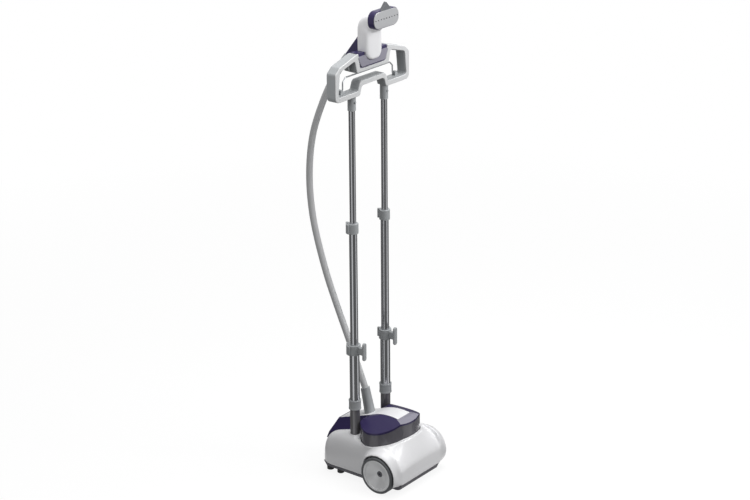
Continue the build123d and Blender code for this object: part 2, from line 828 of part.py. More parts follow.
with BuildPart(home) as boiler_cover:
    with BuildSketch(level(boiler_top)):
        with Locations((0, boiler_mid)):
            RectangleRounded(2 * boiler_half, boiler_len, boiler_round)
    extrude(amount=cover_t)
    with Locations((0, nipple_y, boiler_top)):
        Cylinder(nipple_r, cover_t + nipple_h, align=stand)
        Cylinder(nipple_bore, cover_t + nipple_h, align=stand, mode=Mode.SUBTRACT)
save(boiler_cover, "boiler_cover")

with BuildPart(home) as steam_pipe:
    with Locations((0, nipple_y, boiler_top + cover_t)):
        Cylinder(pipe_r, pipe_top - boiler_top - cover_t, align=stand)
        Cylinder(nipple_r, pipe_top - boiler_top - cover_t, align=stand, mode=Mode.SUBTRACT)
save(steam_pipe, "steam_pipe")

with BuildPart(home) as heating_element:
    with BuildLine(level(boiler_low - heater_r)) as loop:
        first = Line((-heater_x, heater_end), (-heater_x, heater_y0))
        ThreePointArc((-heater_x, heater_y0), (0, heater_y0 - heater_x), (heater_x, heater_y0))
        Line((heater_x, heater_y0), (heater_x, heater_end))
    with BuildSketch(Plane(origin=first @ 0, z_dir=first % 0)):
        Circle(heater_r)
    sweep(path=loop.line)
save(heating_element, "heating_element")

with BuildPart(home) as thermostat:
    with Locations(Location((boiler_half, boiler_mid, thermostat_z), (0, 90, 0))):
        Cylinder(thermostat_r, thermostat_t, align=stand)
save(thermostat, "thermostat")

with BuildPart(home) as feed_tube:
    with BuildLine(side) as route:
        FilletPolyline((valve_y, pocket_floor), (valve_y, feed_z), (boiler_y0, feed_z), radius=feed_bend)
    with BuildSketch(Plane(origin=route.line @ 0, z_dir=route.line % 0)):
        Circle(feed_r)
        Circle(feed_bore, mode=Mode.SUBTRACT)
    sweep()
save(feed_tube, "feed_tube")

with BuildPart(home) as switch_body:
    with Locations((switch_x, switch_y0, switch_z)):
        Box(
            switch_w, switch_y1 - switch_y0, switch_h,
            align=(Align.CENTER, Align.MIN, Align.CENTER),
        )
save(switch_body, "switch_body")

with BuildPart(home) as power_button:
    with Locations(Location((switch_x, button_y0, switch_z), (-90, 0, 0))):
        Cylinder(button_r, button_y1 - button_y0, align=stand)
save(power_button, "power_button")

with BuildPart(home) as cord_gland:
    with Locations(Location((-switch_x, gland_y0, switch_z), (-90, 0, 0))):
        Cylinder(gland_r, gland_y1 - gland_y0, align=stand)
        Cylinder(gland_bore, gland_y1 - gland_y0, align=stand, mode=Mode.SUBTRACT)
save(cord_gland, "cord_gland")

# Hose connector on the rear lid
lean = Vector(*connector_lean)
foot = Vector(*connector_foot) + Vector(0, pole_y, 0)
connector_end = foot + lean * connector_len
hose_start = (connector_end.Y - pole_y, connector_end.Z)
hose_way = Vector(0, hose_route_low[0][0] - hose_start[0], hose_route_low[0][1] - hose_start[1])
with BuildPart(home) as hose_connector:
    sleeve_low = Plane(origin=foot - lean * connector_sink, z_dir=lean)
    with BuildSketch(sleeve_low):
        Circle(connector_low_r)
    with BuildSketch(Plane(origin=connector_end, z_dir=hose_way)):
        Circle(connector_top_r)
    loft()
    split(bisect_by=lid_plane, keep=Keep.TOP)
    with Locations((0, nipple_y, 0)):
        Cylinder(pipe_r, pipe_top, align=stand, mode=Mode.SUBTRACT)
    with BuildSketch(Plane(origin=connector_end, z_dir=lean)):
        Circle(hose_bore)
    extrude(amount=-connector_len, mode=Mode.SUBTRACT)
save(hose_connector, "hose_connector")


# Hose in three lengths, which meet face to face on straight runs
def hose_piece(name, points):
    radii = []
    for before, here, after in zip(points, points[1:], points[2:]):
        ahead = Vector(*after) - Vector(*here)
        behind = Vector(*here) - Vector(*before)
        turn = acos(ahead.normalized().dot(behind.normalized()))
        radii.append(hose_bend_share * min(ahead.length, behind.length) / tan(turn / 2))
    print(name, "bend radii", [round(r) for r in radii])
    with BuildLine(side) as line:
        FilletPolyline(*points, radius=radii)
    with BuildSketch(Plane(origin=line.line @ 0, z_dir=line.line % 0)) as ring:
        Circle(hose_r)
        Circle(hose_bore, mode=Mode.SUBTRACT)
    sweep(ring.sketch, path=line.line)
    print(name, "length", round(sum(edge.length for edge in line.edges()), 1))


lower_split = tuple((a + b) / 2 for a, b in zip(hose_route_low[-1], hose_route_mid[0]))
upper_split = tuple((a + b) / 2 for a, b in zip(hose_route_mid[-1], hose_route_top[0]))
with BuildPart(home) as hose_lower:
    hose_piece("hose_lower", [hose_start, *hose_route_low, lower_split])
save(hose_lower, "hose_lower")

with BuildPart(home) as hose_middle:
    hose_piece("hose_middle", [lower_split, *hose_route_mid, upper_split])
save(hose_middle, "hose_middle")

with BuildPart(home) as hose_upper:
    hose_piece("hose_upper", [upper_split, *hose_route_top, cuff_end])
save(hose_upper, "hose_upper")


# Hanger
def hanger_face(grow):
    with BuildLine() as rim:
        FilletPolyline(*both(hanger_outline), radius=hanger_radii + hanger_radii[::-1], close=True)
    make_face(rim.edges())
    with BuildSketch(mode=Mode.PRIVATE) as hole:
        with BuildLine():
            FilletPolyline(
                *both(hanger_opening), radius=hanger_opening_radii + hanger_opening_radii[::-1], close=True
            )
        make_face()
        if grow:
            offset(amount=grow)
    add(hole.sketch_local, mode=Mode.SUBTRACT)
    with Locations((0, cradle_low)):
        Rectangle(2 * cradle_half, reach, align=(Align.CENTER, Align.MIN), mode=Mode.SUBTRACT)


with BuildPart(home) as hanger_body:
    with BuildSketch(facing(hanger_rear)):
        hanger_face(0)
    extrude(amount=hanger_rear - trim_rear)
    with Locations((-pole_x, 0, socket_low), (pole_x, 0, socket_low)):
        Cylinder(socket_r, socket_top - socket_low, align=stand)
        Cylinder(top_r, socket_depth, align=stand, mode=Mode.SUBTRACT)
    with Locations(*[Location((s * pole_x, 0, snap_z), (90, 0, 0)) for s in (-1, 1)]):
        Cylinder(snap_r + snap_gap, 2 * socket_r, align=stand, mode=Mode.SUBTRACT)
    with Locations(*[Location((s * lug_x, lug_front, lug_z), (-90, 0, 0)) for s in (-1, 1)]):
        Cylinder(lug_r, lug_rear - lug_front, align=stand)
    for name, sign in both_sides:
        with Locations((sign * (bail_block_x0 + bail_block_x1) / 2, 0, socket_top)):
            Box(
                bail_block_x1 - bail_block_x0, 2 * bail_block_half, bail_block_top - socket_top,
                align=stand,
            )
    with Locations(Location((0, 0, bail_z), (0, 90, 0))):
        Cylinder(bail_r + bail_fit, 2 * bail_end, mode=Mode.SUBTRACT)
save(hanger_body, "hanger_body")

with BuildPart(home) as hanger_trim:
    with BuildSketch(facing(trim_rear)):
        hanger_face(trim_step)
    extrude(amount=trim_rear - trim_front)
save(hanger_trim, "hanger_trim")


def cradle_face():
    with Locations((0, (cradle_low + cradle_top) / 2)):
        Rectangle(2 * cradle_half, cradle_top - cradle_low)
    with Locations((0, body_low - notch_gap)):
        RectangleRounded(
            2 * (body_half + notch_gap), reach, body_round + notch_gap,
            align=(Align.CENTER, Align.MIN), mode=Mode.SUBTRACT,
        )


with BuildPart(home) as cradle_body:
    with BuildSketch(facing(cradle_rear)):
        cradle_face()
    extrude(amount=cradle_rear - cradle_mid)
save(cradle_body, "cradle_body")

with BuildPart(home) as cradle_front:
    with BuildSketch(facing(cradle_mid)):
        cradle_face()
    extrude(amount=cradle_mid - cradle_front_y)
save(cradle_front, "cradle_front")

# Spring buttons that hold the hanger sockets on the top tubes
for name, sign in both_sides:
    with BuildPart(home) as snap_button:
        with Locations(Location((sign * pole_x, -snap_in, snap_z), (90, 0, 0))):
            Cylinder(snap_r, snap_out - snap_in, align=stand)
            Cylinder(snap_flange_r, snap_flange_t, align=hang)
    save(snap_button, f"{name}_snap_button")

# Wire bail for trousers
with BuildPart(home) as trouser_bail:
    bail_half = [(bail_bar_x, bail_bar_z), (bail_leg, bail_knee), (bail_leg, bail_z), (bail_end, bail_z)]
    with BuildLine(front) as wire:
        FilletPolyline(*both(bail_half[::-1]), radius=bail_bend)
    with BuildSketch(Plane(origin=wire.line @ 0, z_dir=wire.line % 0)):
        Circle(bail_r)
    sweep(path=wire.line)
save(trouser_bail, "trouser_bail")


# Handset
def handset_body(inset):
    with BuildPart() as form:
        with BuildSketch(level(body_low + inset)):
            with Locations((0, (body_front + body_rear) / 2)):
                RectangleRounded(
                    2 * (body_half - inset), body_rear - body_front - 2 * inset, body_corner - inset,
                )
        extrude(amount=body_top - body_low - 2 * inset)
        with BuildSketch(facing(body_rear)):
            with Locations((0, body_low + inset)):
                RectangleRounded(
                    2 * (body_half - inset), reach, body_round - inset, align=(Align.CENTER, Align.MIN),
                )
        extrude(amount=body_rear - body_front, mode=Mode.INTERSECT)
    return home.to_local_coords(form.part)


with BuildPart(home) as handset_shell:
    add(handset_body(0))
    with Locations(Location((0, neck_rear, neck_z), (90, 0, 0))):
        Cylinder(neck_r, neck_rear - bezel_rear, align=stand)
    add(handset_body(body_wall), mode=Mode.SUBTRACT)
    with Locations(Location((0, neck_rear - body_wall, neck_z), (90, 0, 0))):
        Cylinder(neck_r - body_wall, neck_rear - bezel_rear, align=stand, mode=Mode.SUBTRACT)
    with Locations((0, body_rear, tube_route[1][1])):
        Box(2 * tube_r + 2 * body_wall, 2 * body_corner, port_h, mode=Mode.SUBTRACT)
save(handset_shell, "handset_shell")

with BuildPart(home) as handset_grip:
    with BuildSketch(side):
        with BuildLine():
            Polyline(*grip_side, close=True)
        make_face()
    extrude(amount=grip_half, both=True)
    with BuildSketch(side):
        with BuildLine():
            Polyline(*grip_side, close=True)
        make_face()
        offset(amount=-grip_wall, kind=Kind.INTERSECTION)
        with Locations((grip_side[3][0], grip_side[3][1] + grip_wall)):
            Rectangle(
                2 * grip_wall, grip_side[0][1] - grip_side[3][1] - grip_bridge, align=Align.MIN,
            )
    extrude(amount=grip_half - grip_wall, both=True, mode=Mode.SUBTRACT)
save(handset_grip, "handset_grip")

with BuildPart(home) as head_bezel:
    with BuildSketch(facing(bezel_rear)):
        with Locations((0, bezel_z)):
            RectangleRounded(2 * bezel_half, bezel_h, bezel_corner)
    extrude(amount=bezel_rear - bezel_front)
    with BuildSketch(facing(bezel_rear - bezel_wall)):
        with Locations((0, bezel_z)):
            RectangleRounded(
                2 * (bezel_half - bezel_wall), bezel_h - 2 * bezel_wall, bezel_corner - bezel_wall,
            )
    extrude(amount=bezel_rear - bezel_front, mode=Mode.SUBTRACT)
    with Locations(Location((0, bezel_rear, tube_route[3][1]), (90, 0, 0))):
        Cylinder(tube_r, bezel_wall, align=stand, mode=Mode.SUBTRACT)
save(head_bezel, "head_bezel")

with BuildPart(home) as steam_plate:
    with BuildSketch(facing(bezel_front)):
        with Locations((0, bezel_z)):
            RectangleRounded(
                2 * (bezel_half - plate_inset), bezel_h - 2 * plate_inset, bezel_corner - plate_inset,
            )
        with BuildLine():
            Polyline((-tip_half, tip_low), (tip_half, tip_low), (0, tip_top), close=True)
        make_face()
        with Locations((0, bezel_z)):
            with GridLocations(plate_hole_pitch, plate_hole_pitch, plate_hole_count, 1):
                Circle(plate_hole_r, mode=Mode.SUBTRACT)
    extrude(amount=plate_t)
    with BuildSketch(facing(bezel_front + tip_depth)):
        with BuildLine():
            Polyline((-tip_half, tip_low), (tip_half, tip_low), (0, tip_top), close=True)
        make_face()
        with Locations((0, bezel_z)):
            RectangleRounded(2 * bezel_half, bezel_h, bezel_corner, mode=Mode.SUBTRACT)
    extrude(amount=tip_depth)
save(steam_plate, "steam_plate")

with BuildPart(home) as handset_cuff:
    cuff_way = Vector(0, hose_route_top[-1][0] - cuff_end[0], hose_route_top[-1][1] - cuff_end[1])
    cuff_tip = Vector(0, pole_y + cuff_end[0], cuff_end[1])
    with BuildSketch(Plane(origin=cuff_tip, z_dir=cuff_way)):
        Circle(cuff_r)
        Circle(hose_bore, mode=Mode.SUBTRACT)
    extrude(amount=-cuff_way.length)
    split(bisect_by=level(grip_side[3][1]), keep=Keep.BOTTOM)
save(handset_cuff, "handset_cuff")

with BuildPart(home) as steam_tube:
    with BuildLine(side) as tube_line:
        FilletPolyline(*tube_route, radius=tube_bend)
    with BuildSketch(Plane(origin=tube_line.line @ 0, z_dir=tube_line.line % 0)):
        Circle(tube_r)
        Circle(tube_bore, mode=Mode.SUBTRACT)
    sweep(path=tube_line.line)
save(steam_tube, "steam_tube")
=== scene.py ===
import json
from math import atan2, cos, hypot, pi, radians, sin, tan

import bmesh
import bpy
from mathutils import Matrix, Vector

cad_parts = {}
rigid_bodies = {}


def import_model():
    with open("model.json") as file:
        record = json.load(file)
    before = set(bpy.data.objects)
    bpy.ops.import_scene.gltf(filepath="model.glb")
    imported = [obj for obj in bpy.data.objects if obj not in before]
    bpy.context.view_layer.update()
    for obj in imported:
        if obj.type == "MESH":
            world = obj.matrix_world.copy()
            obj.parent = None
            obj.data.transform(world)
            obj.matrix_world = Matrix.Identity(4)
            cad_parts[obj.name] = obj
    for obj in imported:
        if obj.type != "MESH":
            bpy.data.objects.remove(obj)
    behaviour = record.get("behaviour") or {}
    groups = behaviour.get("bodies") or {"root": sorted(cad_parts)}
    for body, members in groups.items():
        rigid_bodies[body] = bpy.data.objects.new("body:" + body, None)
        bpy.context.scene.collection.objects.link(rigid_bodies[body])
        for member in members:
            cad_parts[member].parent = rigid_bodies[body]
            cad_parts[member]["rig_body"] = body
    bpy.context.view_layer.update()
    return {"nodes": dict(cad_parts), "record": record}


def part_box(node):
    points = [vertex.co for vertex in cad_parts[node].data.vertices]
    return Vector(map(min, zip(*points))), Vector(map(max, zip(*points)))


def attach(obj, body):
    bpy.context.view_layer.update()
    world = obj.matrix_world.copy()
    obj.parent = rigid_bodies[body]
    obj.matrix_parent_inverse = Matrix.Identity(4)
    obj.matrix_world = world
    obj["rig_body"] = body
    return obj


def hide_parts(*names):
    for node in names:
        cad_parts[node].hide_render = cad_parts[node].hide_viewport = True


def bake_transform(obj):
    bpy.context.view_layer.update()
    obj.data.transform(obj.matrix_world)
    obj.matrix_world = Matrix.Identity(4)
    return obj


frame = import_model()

nodes = frame["nodes"]
bodyOf = {name: ob["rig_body"] for name, ob in nodes.items()}
slotOf = {part["node"]: part["material_slot"] for part in frame["record"]["subparts"]}
mm = 0.001
weldGap = 0.004 * mm  # points nearer than this are one
seamGap = 0.02 * mm  # and where two mirrored halves meet
poleR = 15.0  # of the feet and the lower poles
poleY = sum(corner.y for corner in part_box("pole_stubs")) / 2  # where the two poles stand
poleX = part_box("pole_stubs")[1].x - poleR * mm
scene = bpy.context.scene
print("frame loaded,", len(nodes), "nodes")


def spot(x, y, z):  # millimetres from the foot of the pole line
    return Vector((x * mm, poleY + y * mm, z * mm))


# Finishes
def put(tree, kind, values=None, **settings):
    node = tree.nodes.new(kind)
    for key, value in settings.items():
        setattr(node, key, value)
    for key, value in (values or {}).items():
        node.inputs[key].default_value = value
    return node


def newGroup(name, inputs, outputs):
    group = bpy.data.node_groups.new(name, "ShaderNodeTree")
    for label, kind in inputs.items():
        group.interface.new_socket(label, in_out="INPUT", socket_type="NodeSocket" + kind)
    for label, kind in outputs.items():
        group.interface.new_socket(label, in_out="OUTPUT", socket_type="NodeSocket" + kind)
    return group, put(group, "NodeGroupInput"), put(group, "NodeGroupOutput")


surfaceIn = {"Vector": "Vector", "Grain": "Float", "Smudge": "Float", "Dull": "Float", "Spread": "Float"}
surfaceOut = {"Height": "Float", "Roughness": "Float", "Tone": "Float"}


def spreadRoughness(group, entry, noise):  # roughness wanders about its set value
    half = put(group, "ShaderNodeMath", {1: 0.5}, operation="SUBTRACT")
    wide = put(group, "ShaderNodeMath", operation="MULTIPLY")
    total = put(group, "ShaderNodeMath", operation="ADD")
    group.links.new(noise.outputs["Fac"], half.inputs[0])
    group.links.new(half.outputs[0], wide.inputs[0])
    group.links.new(entry.outputs["Spread"], wide.inputs[1])
    group.links.new(wide.outputs[0], total.inputs[0])
    group.links.new(entry.outputs["Dull"], total.inputs[1])
    return total.outputs[0]


def mouldGrainGroup():  # fine pebble of a moulded skin, with handling smudges
    group, entry, leave = newGroup("mouldGrain", surfaceIn, surfaceOut)
    pebble = put(group, "ShaderNodeTexNoise", {"Detail": 3.0, "Roughness": 0.6})
    smudge = put(group, "ShaderNodeTexNoise", {"Detail": 5.0, "Roughness": 0.62, "Distortion": 0.4})
    tone = put(group, "ShaderNodeTexNoise", {"Scale": 7.0, "Detail": 2.0})
    for node in (pebble, smudge, tone):
        group.links.new(entry.outputs["Vector"], node.inputs["Vector"])
    group.links.new(entry.outputs["Grain"], pebble.inputs["Scale"])
    group.links.new(entry.outputs["Smudge"], smudge.inputs["Scale"])
    group.links.new(pebble.outputs["Fac"], leave.inputs["Height"])
    group.links.new(spreadRoughness(group, entry, smudge), leave.inputs["Roughness"])
    group.links.new(tone.outputs["Fac"], leave.inputs["Tone"])
    return group


def drawnMetalGroup():  # long draw marks up the tube
    group, entry, leave = newGroup("drawnMetal", surfaceIn, surfaceOut)
    stretch = put(group, "ShaderNodeMapping", {"Scale": (1.0, 1.0, 0.006)})
    marks = put(group, "ShaderNodeTexNoise", {"Detail": 4.0, "Roughness": 0.7})
    smudge = put(group, "ShaderNodeTexNoise", {"Detail": 4.0, "Roughness": 0.6})
    group.links.new(entry.outputs["Vector"], stretch.inputs["Vector"])
    group.links.new(stretch.outputs["Vector"], marks.inputs["Vector"])
    group.links.new(entry.outputs["Vector"], smudge.inputs["Vector"])
    group.links.new(entry.outputs["Grain"], marks.inputs["Scale"])
    group.links.new(entry.outputs["Smudge"], smudge.inputs["Scale"])
    group.links.new(marks.outputs["Fac"], leave.inputs["Height"])
    group.links.new(spreadRoughness(group, entry, smudge), leave.inputs["Roughness"])
    group.links.new(marks.outputs["Fac"], leave.inputs["Tone"])
    return group


surfaceGroups = {"moulded": mouldGrainGroup(), "drawn": drawnMetalGroup()}


def linear(colour):  # screen colour, 0 to 255, to the shader's scale
    shares = [c / 255 for c in colour]
    return tuple(s / 12.92 if s < 0.0404 else ((s + 0.055) / 1.055) ** 2.4 for s in shares) + (1.0,)


plainLook = {"texture": "moulded", "shade": 0.93, "smudge": 22.0, "relief": 0.0006, "shader": {}}
finishLooks = {
    "white": {"colour": (236, 236, 238), "dull": 0.30, "spread": 0.10, "grain": 1400, "depth": 0.05,
              "shader": {"Coat Weight": 0.25, "Coat Roughness": 0.12}},
    "violet": {"colour": (46, 38, 79), "dull": 0.30, "spread": 0.10, "grain": 1500, "depth": 0.04,
               "shader": {"Coat Weight": 0.08, "Coat Roughness": 0.1, "Specular IOR Level": 0.25}},
    "lavender": {"colour": (140, 138, 151), "dull": 0.36, "spread": 0.1, "grain": 1300, "depth": 0.05},
    "smoky": {"colour": (132, 130, 138), "dull": 0.16, "spread": 0.08, "grain": 700, "depth": 0.03,
              "shader": {"Transmission Weight": 0.5, "IOR": 1.46}},
    "grey": {"colour": (163, 166, 168), "dull": 0.50, "spread": 0.14, "grain": 1100, "depth": 0.14},
    "light_grey": {"colour": (206, 207, 208), "dull": 0.40, "spread": 0.12, "grain": 1200, "depth": 0.07},
    "dark": {"colour": (28, 24, 42), "dull": 0.52, "spread": 0.14, "grain": 1000, "depth": 0.16},
    "foot_rubber": {"colour": (26, 26, 28), "dull": 0.72, "spread": 0.14, "grain": 900, "depth": 0.25},
    "tyre": {"colour": (96, 98, 101), "dull": 0.66, "spread": 0.16, "grain": 700, "depth": 0.3},
    "tube_chrome": {"colour": (180, 181, 184), "texture": "drawn", "dull": 0.11, "spread": 0.05,
                    "grain": 900, "depth": 0.003, "shade": 0.92, "shader": {"Metallic": 1.0}},
    "foot_tube": {"colour": (122, 121, 124), "texture": "drawn", "dull": 0.36, "spread": 0.06,
                  "grain": 900, "depth": 0.003, "shade": 0.92, "shader": {"Metallic": 0.45}},
    "steel": {"colour": (168, 170, 173), "dull": 0.28, "spread": 0.14, "grain": 800, "depth": 0.06,
              "shader": {"Metallic": 1.0}},
    "cast_aluminium": {"colour": (164, 165, 167), "dull": 0.44, "spread": 0.16, "grain": 600, "depth": 0.2,
                       "shader": {"Metallic": 0.6}},
    "hose": {"colour": (190, 191, 192), "dull": 0.56, "spread": 0.14, "grain": 1000, "depth": 0.12},
    "silicone": {"colour": (205, 200, 190), "dull": 0.5, "spread": 0.1, "grain": 900, "depth": 0.06},
    "nylon": {"colour": (214, 212, 204), "dull": 0.46, "spread": 0.1, "grain": 1000, "depth": 0.08},
    "hub": {"colour": (232, 233, 234), "dull": 0.34, "spread": 0.12, "grain": 1100, "depth": 0.06,
            "shader": {"Metallic": 0.1}},
}


def makeFinish(name):
    look = {**plainLook, **finishLooks[name]}
    material = bpy.data.materials.new(name)
    material.use_nodes = True
    tree = material.node_tree
    shader = tree.nodes["Principled BSDF"]
    for label, value in look["shader"].items():
        shader.inputs[label].default_value = value
    coords = put(tree, "ShaderNodeTexCoord")
    settings = {label.title(): look[label] for label in ("grain", "smudge", "dull", "spread")}
    skin = put(tree, "ShaderNodeGroup", node_tree=surfaceGroups[look["texture"]])
    for label, value in settings.items():
        skin.inputs[label].default_value = value
    full = linear(look["colour"])
    tone = put(tree, "ShaderNodeMix", data_type="RGBA")
    tone.inputs["A"].default_value = tuple(c * look["shade"] for c in full[:3]) + (1.0,)
    tone.inputs["B"].default_value = full
    bump = put(tree, "ShaderNodeBump", {"Strength": look["depth"], "Distance": look["relief"]})
    tree.links.new(coords.outputs["Object"], skin.inputs["Vector"])
    tree.links.new(skin.outputs["Tone"], tone.inputs["Factor"])
    tree.links.new(tone.outputs["Result"], shader.inputs["Base Color"])
    tree.links.new(skin.outputs["Roughness"], shader.inputs["Roughness"])
    tree.links.new(skin.outputs["Height"], bump.inputs["Height"])
    tree.links.new(bump.outputs["Normal"], shader.inputs["Normal"])
    return material


finishes = {name: makeFinish(name) for name in finishLooks}
for name, ob in nodes.items():
    ob.data.materials.clear()
    ob.data.materials.append(finishes[slotOf[name]])
print("finishes made,", len(finishes))


# Shared shaping
def soften(bm, width, segments=3, turn=28):  # rounds the edges that turn by more than so many degrees
    limit = radians(turn)
    sharp = [e for e in bm.edges if len(e.link_faces) == 2 and e.calc_face_angle(0) > limit]
    bmesh.ops.bevel(bm, geom=sharp, offset=width * mm, offset_type="OFFSET", segments=segments,
                    profile=0.5, affect="EDGES", clamp_overlap=True, material=-1)


def newObject(name, bm):
    mesh = bpy.data.meshes.new(name)
    bm.to_mesh(mesh)
    bm.free()
    ob = bpy.data.objects.new(name, mesh)
    scene.collection.objects.link(ob)
    return ob


def addPiece(name, bm, node, finish=None, turn=35, subdivide=0):
    for edge in bm.edges:
        edge.smooth = edge.calc_face_angle(0) < radians(turn)
    for face in bm.faces:
        face.smooth = True
    ob = newObject(name, bm)
    ob.data.materials.append(finishes[finish or slotOf[node]])
    if subdivide:
        smooth = ob.modifiers.new("rounding", "SUBSURF")
        smooth.levels = smooth.render_levels = subdivide
    weight = ob.modifiers.new("flatFaces", "WEIGHTED_NORMAL")
    weight.keep_sharp = True
    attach(ob, bodyOf[node])
    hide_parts(node)
    return ob


def nodeCopy(node, flat=0.8):  # the node's shape as clean faces, ready for rounding
    bm = bmesh.new()
    bm.from_mesh(nodes[node].data)
    bmesh.ops.remove_doubles(bm, verts=bm.verts, dist=weldGap)
    bmesh.ops.dissolve_limit(bm, angle_limit=radians(flat), verts=bm.verts, edges=bm.edges)
    return bm


def spin(bm, section, centre, axis, steps):  # a closed section, all the way round
    verts = [bm.verts.new(p) for p in section]
    edges = [bm.edges.new((a, b)) for a, b in zip(verts, verts[1:] + verts[:1])]
    bmesh.ops.spin(bm, geom=verts + edges, cent=centre, axis=axis, angle=2 * pi, steps=steps, use_merge=True)
    bmesh.ops.remove_doubles(bm, verts=bm.verts, dist=weldGap)
    bmesh.ops.recalc_face_normals(bm, faces=bm.faces)


def addRing(bm, points):
    verts = [bm.verts.new(p) for p in points]
    return [bm.edges.new((a, b)) for a, b in zip(verts, verts[1:] + verts[:1])]


def loft(bm, rings):  # a skin from ring to ring, closed at both ends
    loops = [addRing(bm, ring) for ring in rings]
    for before, after in zip(loops, loops[1:]):
        bmesh.ops.bridge_loops(bm, edges=before + after)
    for end in (loops[0], loops[-1]):
        bmesh.ops.contextual_create(bm, geom=end)
    bmesh.ops.recalc_face_normals(bm, faces=bm.faces)


def addTube(bm, points, radius, sides, turnOf):  # closed tube along the points, its rings turned to the way
    rings = []
    loops = []
    for i, point in enumerate(points):
        way = (points[min(i + 1, len(points) - 1)] - points[max(i - 1, 0)]).normalized()
        place = Matrix.Translation(point) @ turnOf(way).to_4x4()
        circle = bmesh.ops.create_circle(bm, segments=sides, radius=radius * mm, matrix=place)
        rings.append(circle["verts"])
        loops.append(list({e for v in circle["verts"] for e in v.link_edges}))
    for before, after in zip(loops, loops[1:]):
        bmesh.ops.bridge_loops(bm, edges=before + after)
    for end in (loops[0], loops[-1]):
        bmesh.ops.contextual_create(bm, geom=end)
        for edge in end:
            edge.smooth = False
    bmesh.ops.recalc_face_normals(bm, faces=bm.faces)
    return rings


def roundedLoop(corners, steps=7):  # corners (x, z, radius) of a closed outline
    points = []
    for before, here, after in zip(corners[-1:] + corners[:-1], corners, corners[1:] + corners[:1]):
        corner, radius = Vector(here[:2]), here[2]
        if not radius:
            points.append(corner)
            continue
        back = (Vector(before[:2]) - corner).normalized()
        ahead = (Vector(after[:2]) - corner).normalized()
        half = back.angle(ahead) / 2
        centre = corner + (back + ahead).normalized() * radius / sin(half)
        first = corner + back * radius / tan(half) - centre
        last = corner + ahead * radius / tan(half) - centre
        points += [centre + first.lerp(last, k / steps).normalized() * radius for k in range(steps + 1)]
    return points


def roundedBox(x, z, half, halfTall, radius, steps):  # a rounded rectangle about its middle
    sides = ((-1, -1), (1, -1), (1, 1), (-1, 1))
    return roundedLoop([(x + i * half, z + k * halfTall, radius) for i, k in sides], steps)


def slab(bm, outline, rearY, frontY):  # an outline in the front view, pulled forward
    edges = addRing(bm, [spot(x, rearY, z) for x, z in outline])
    made = bmesh.ops.contextual_create(bm, geom=edges)
    grown = bmesh.ops.extrude_face_region(bm, geom=made["faces"])
    verts = [g for g in grown["geom"] if isinstance(g, bmesh.types.BMVert)]
    bmesh.ops.translate(bm, verts=verts, vec=(0, (frontY - rearY) * mm, 0))
    bmesh.ops.recalc_face_normals(bm, faces=bm.faces)


def drum(radius, place, axis, length, segments=96):  # a plain round cutter or boss
    bm = bmesh.new()
    turn = Vector(axis).to_track_quat("Z", "Y").to_matrix().to_4x4()
    bmesh.ops.create_cone(bm, cap_ends=True, segments=segments, radius1=radius * mm, radius2=radius * mm,
                          depth=length * mm, matrix=Matrix.Translation(place) @ turn)
    return bm


def dropObject(ob):
    mesh = ob.data
    bpy.data.objects.remove(ob)
    bpy.data.meshes.remove(mesh)


def settle(ob):  # the mesh with its modifiers worked in
    bpy.context.view_layer.update()
    bm = bmesh.new()
    bm.from_object(ob, bpy.context.evaluated_depsgraph_get())
    dropObject(ob)
    return bm


def relax(bm, verts, passes):
    for _ in range(passes):
        bmesh.ops.smooth_vert(bm, verts=verts, factor=0.5, use_axis_x=True, use_axis_y=True, use_axis_z=True)


def mergeIn(bm, extra):  # takes the extra shape into the first as it stands
    mesh = bpy.data.meshes.new("extra")
    extra.to_mesh(mesh)
    extra.free()
    bm.from_mesh(mesh)
    bpy.data.meshes.remove(mesh)


def carve(bm, cutters, operation="DIFFERENCE"):
    body = newObject("working", bm)
    tools = [newObject("tool", cutter) for cutter in cutters]
    for tool in tools:
        cut = body.modifiers.new("cut", "BOOLEAN")
        cut.operation = operation
        cut.solver = "EXACT"
        cut.object = tool
    done = settle(body)
    for tool in tools:
        dropObject(tool)
    return done


# Camera at the photograph's angle
shot = {
    "place": (-4.2243, -3.2881, 2.7473), "look": (0.73675, 0.57561, -0.35478), "roll": -0.40,
    "lens": 93.6, "sensor": 36,
}


def makeCamera():
    data = bpy.data.cameras.new("shot")
    data.sensor_fit = "HORIZONTAL"
    data.sensor_width = shot["sensor"]
    data.lens = shot["lens"]
    ob = bpy.data.objects.new("shot", data)
    scene.collection.objects.link(ob)
    look = Vector(shot["look"]).normalized()
    right = look.cross(Vector((0, 0, 1))).normalized()
    frameTurn = Matrix((right, right.cross(look), -look)).transposed()
    frameTurn = frameTurn @ Matrix.Rotation(radians(shot["roll"]), 3, "Z")
    ob.matrix_world = Matrix.Translation(shot["place"]) @ frameTurn.to_4x4()
    scene.camera = ob


makeCamera()

# Steam hose: three lengths that meet where the sliding parts of the poles take it over
hose = {"radius": 10.0, "sides": 28, "smooth": 10, "ripple": 0.0042, "rippleHeight": 0.35}
hoseLengths = [
    {"name": "hoseLower", "node": "hose_lower", "bodies": ("base", "middle"), "length": 0.444,
     "route": [(20.17, 257.38), (58, 350), (128, 505), (168, 601), (188.5, 668)]},
    {"name": "hoseMiddle", "node": "hose_middle", "bodies": ("middle", "top"), "length": 0.4575,
     "route": [(188.5, 668), (209, 735), (223, 828), (225, 908), (217, 988), (199, 1062), (176, 1114.5)]},
    {"name": "hoseUpper", "node": "hose_upper", "bodies": ("top", "handset"), "length": 0.181,
     "route": [(176, 1114.5), (153, 1167), (120, 1222), (83, 1269)]},
]


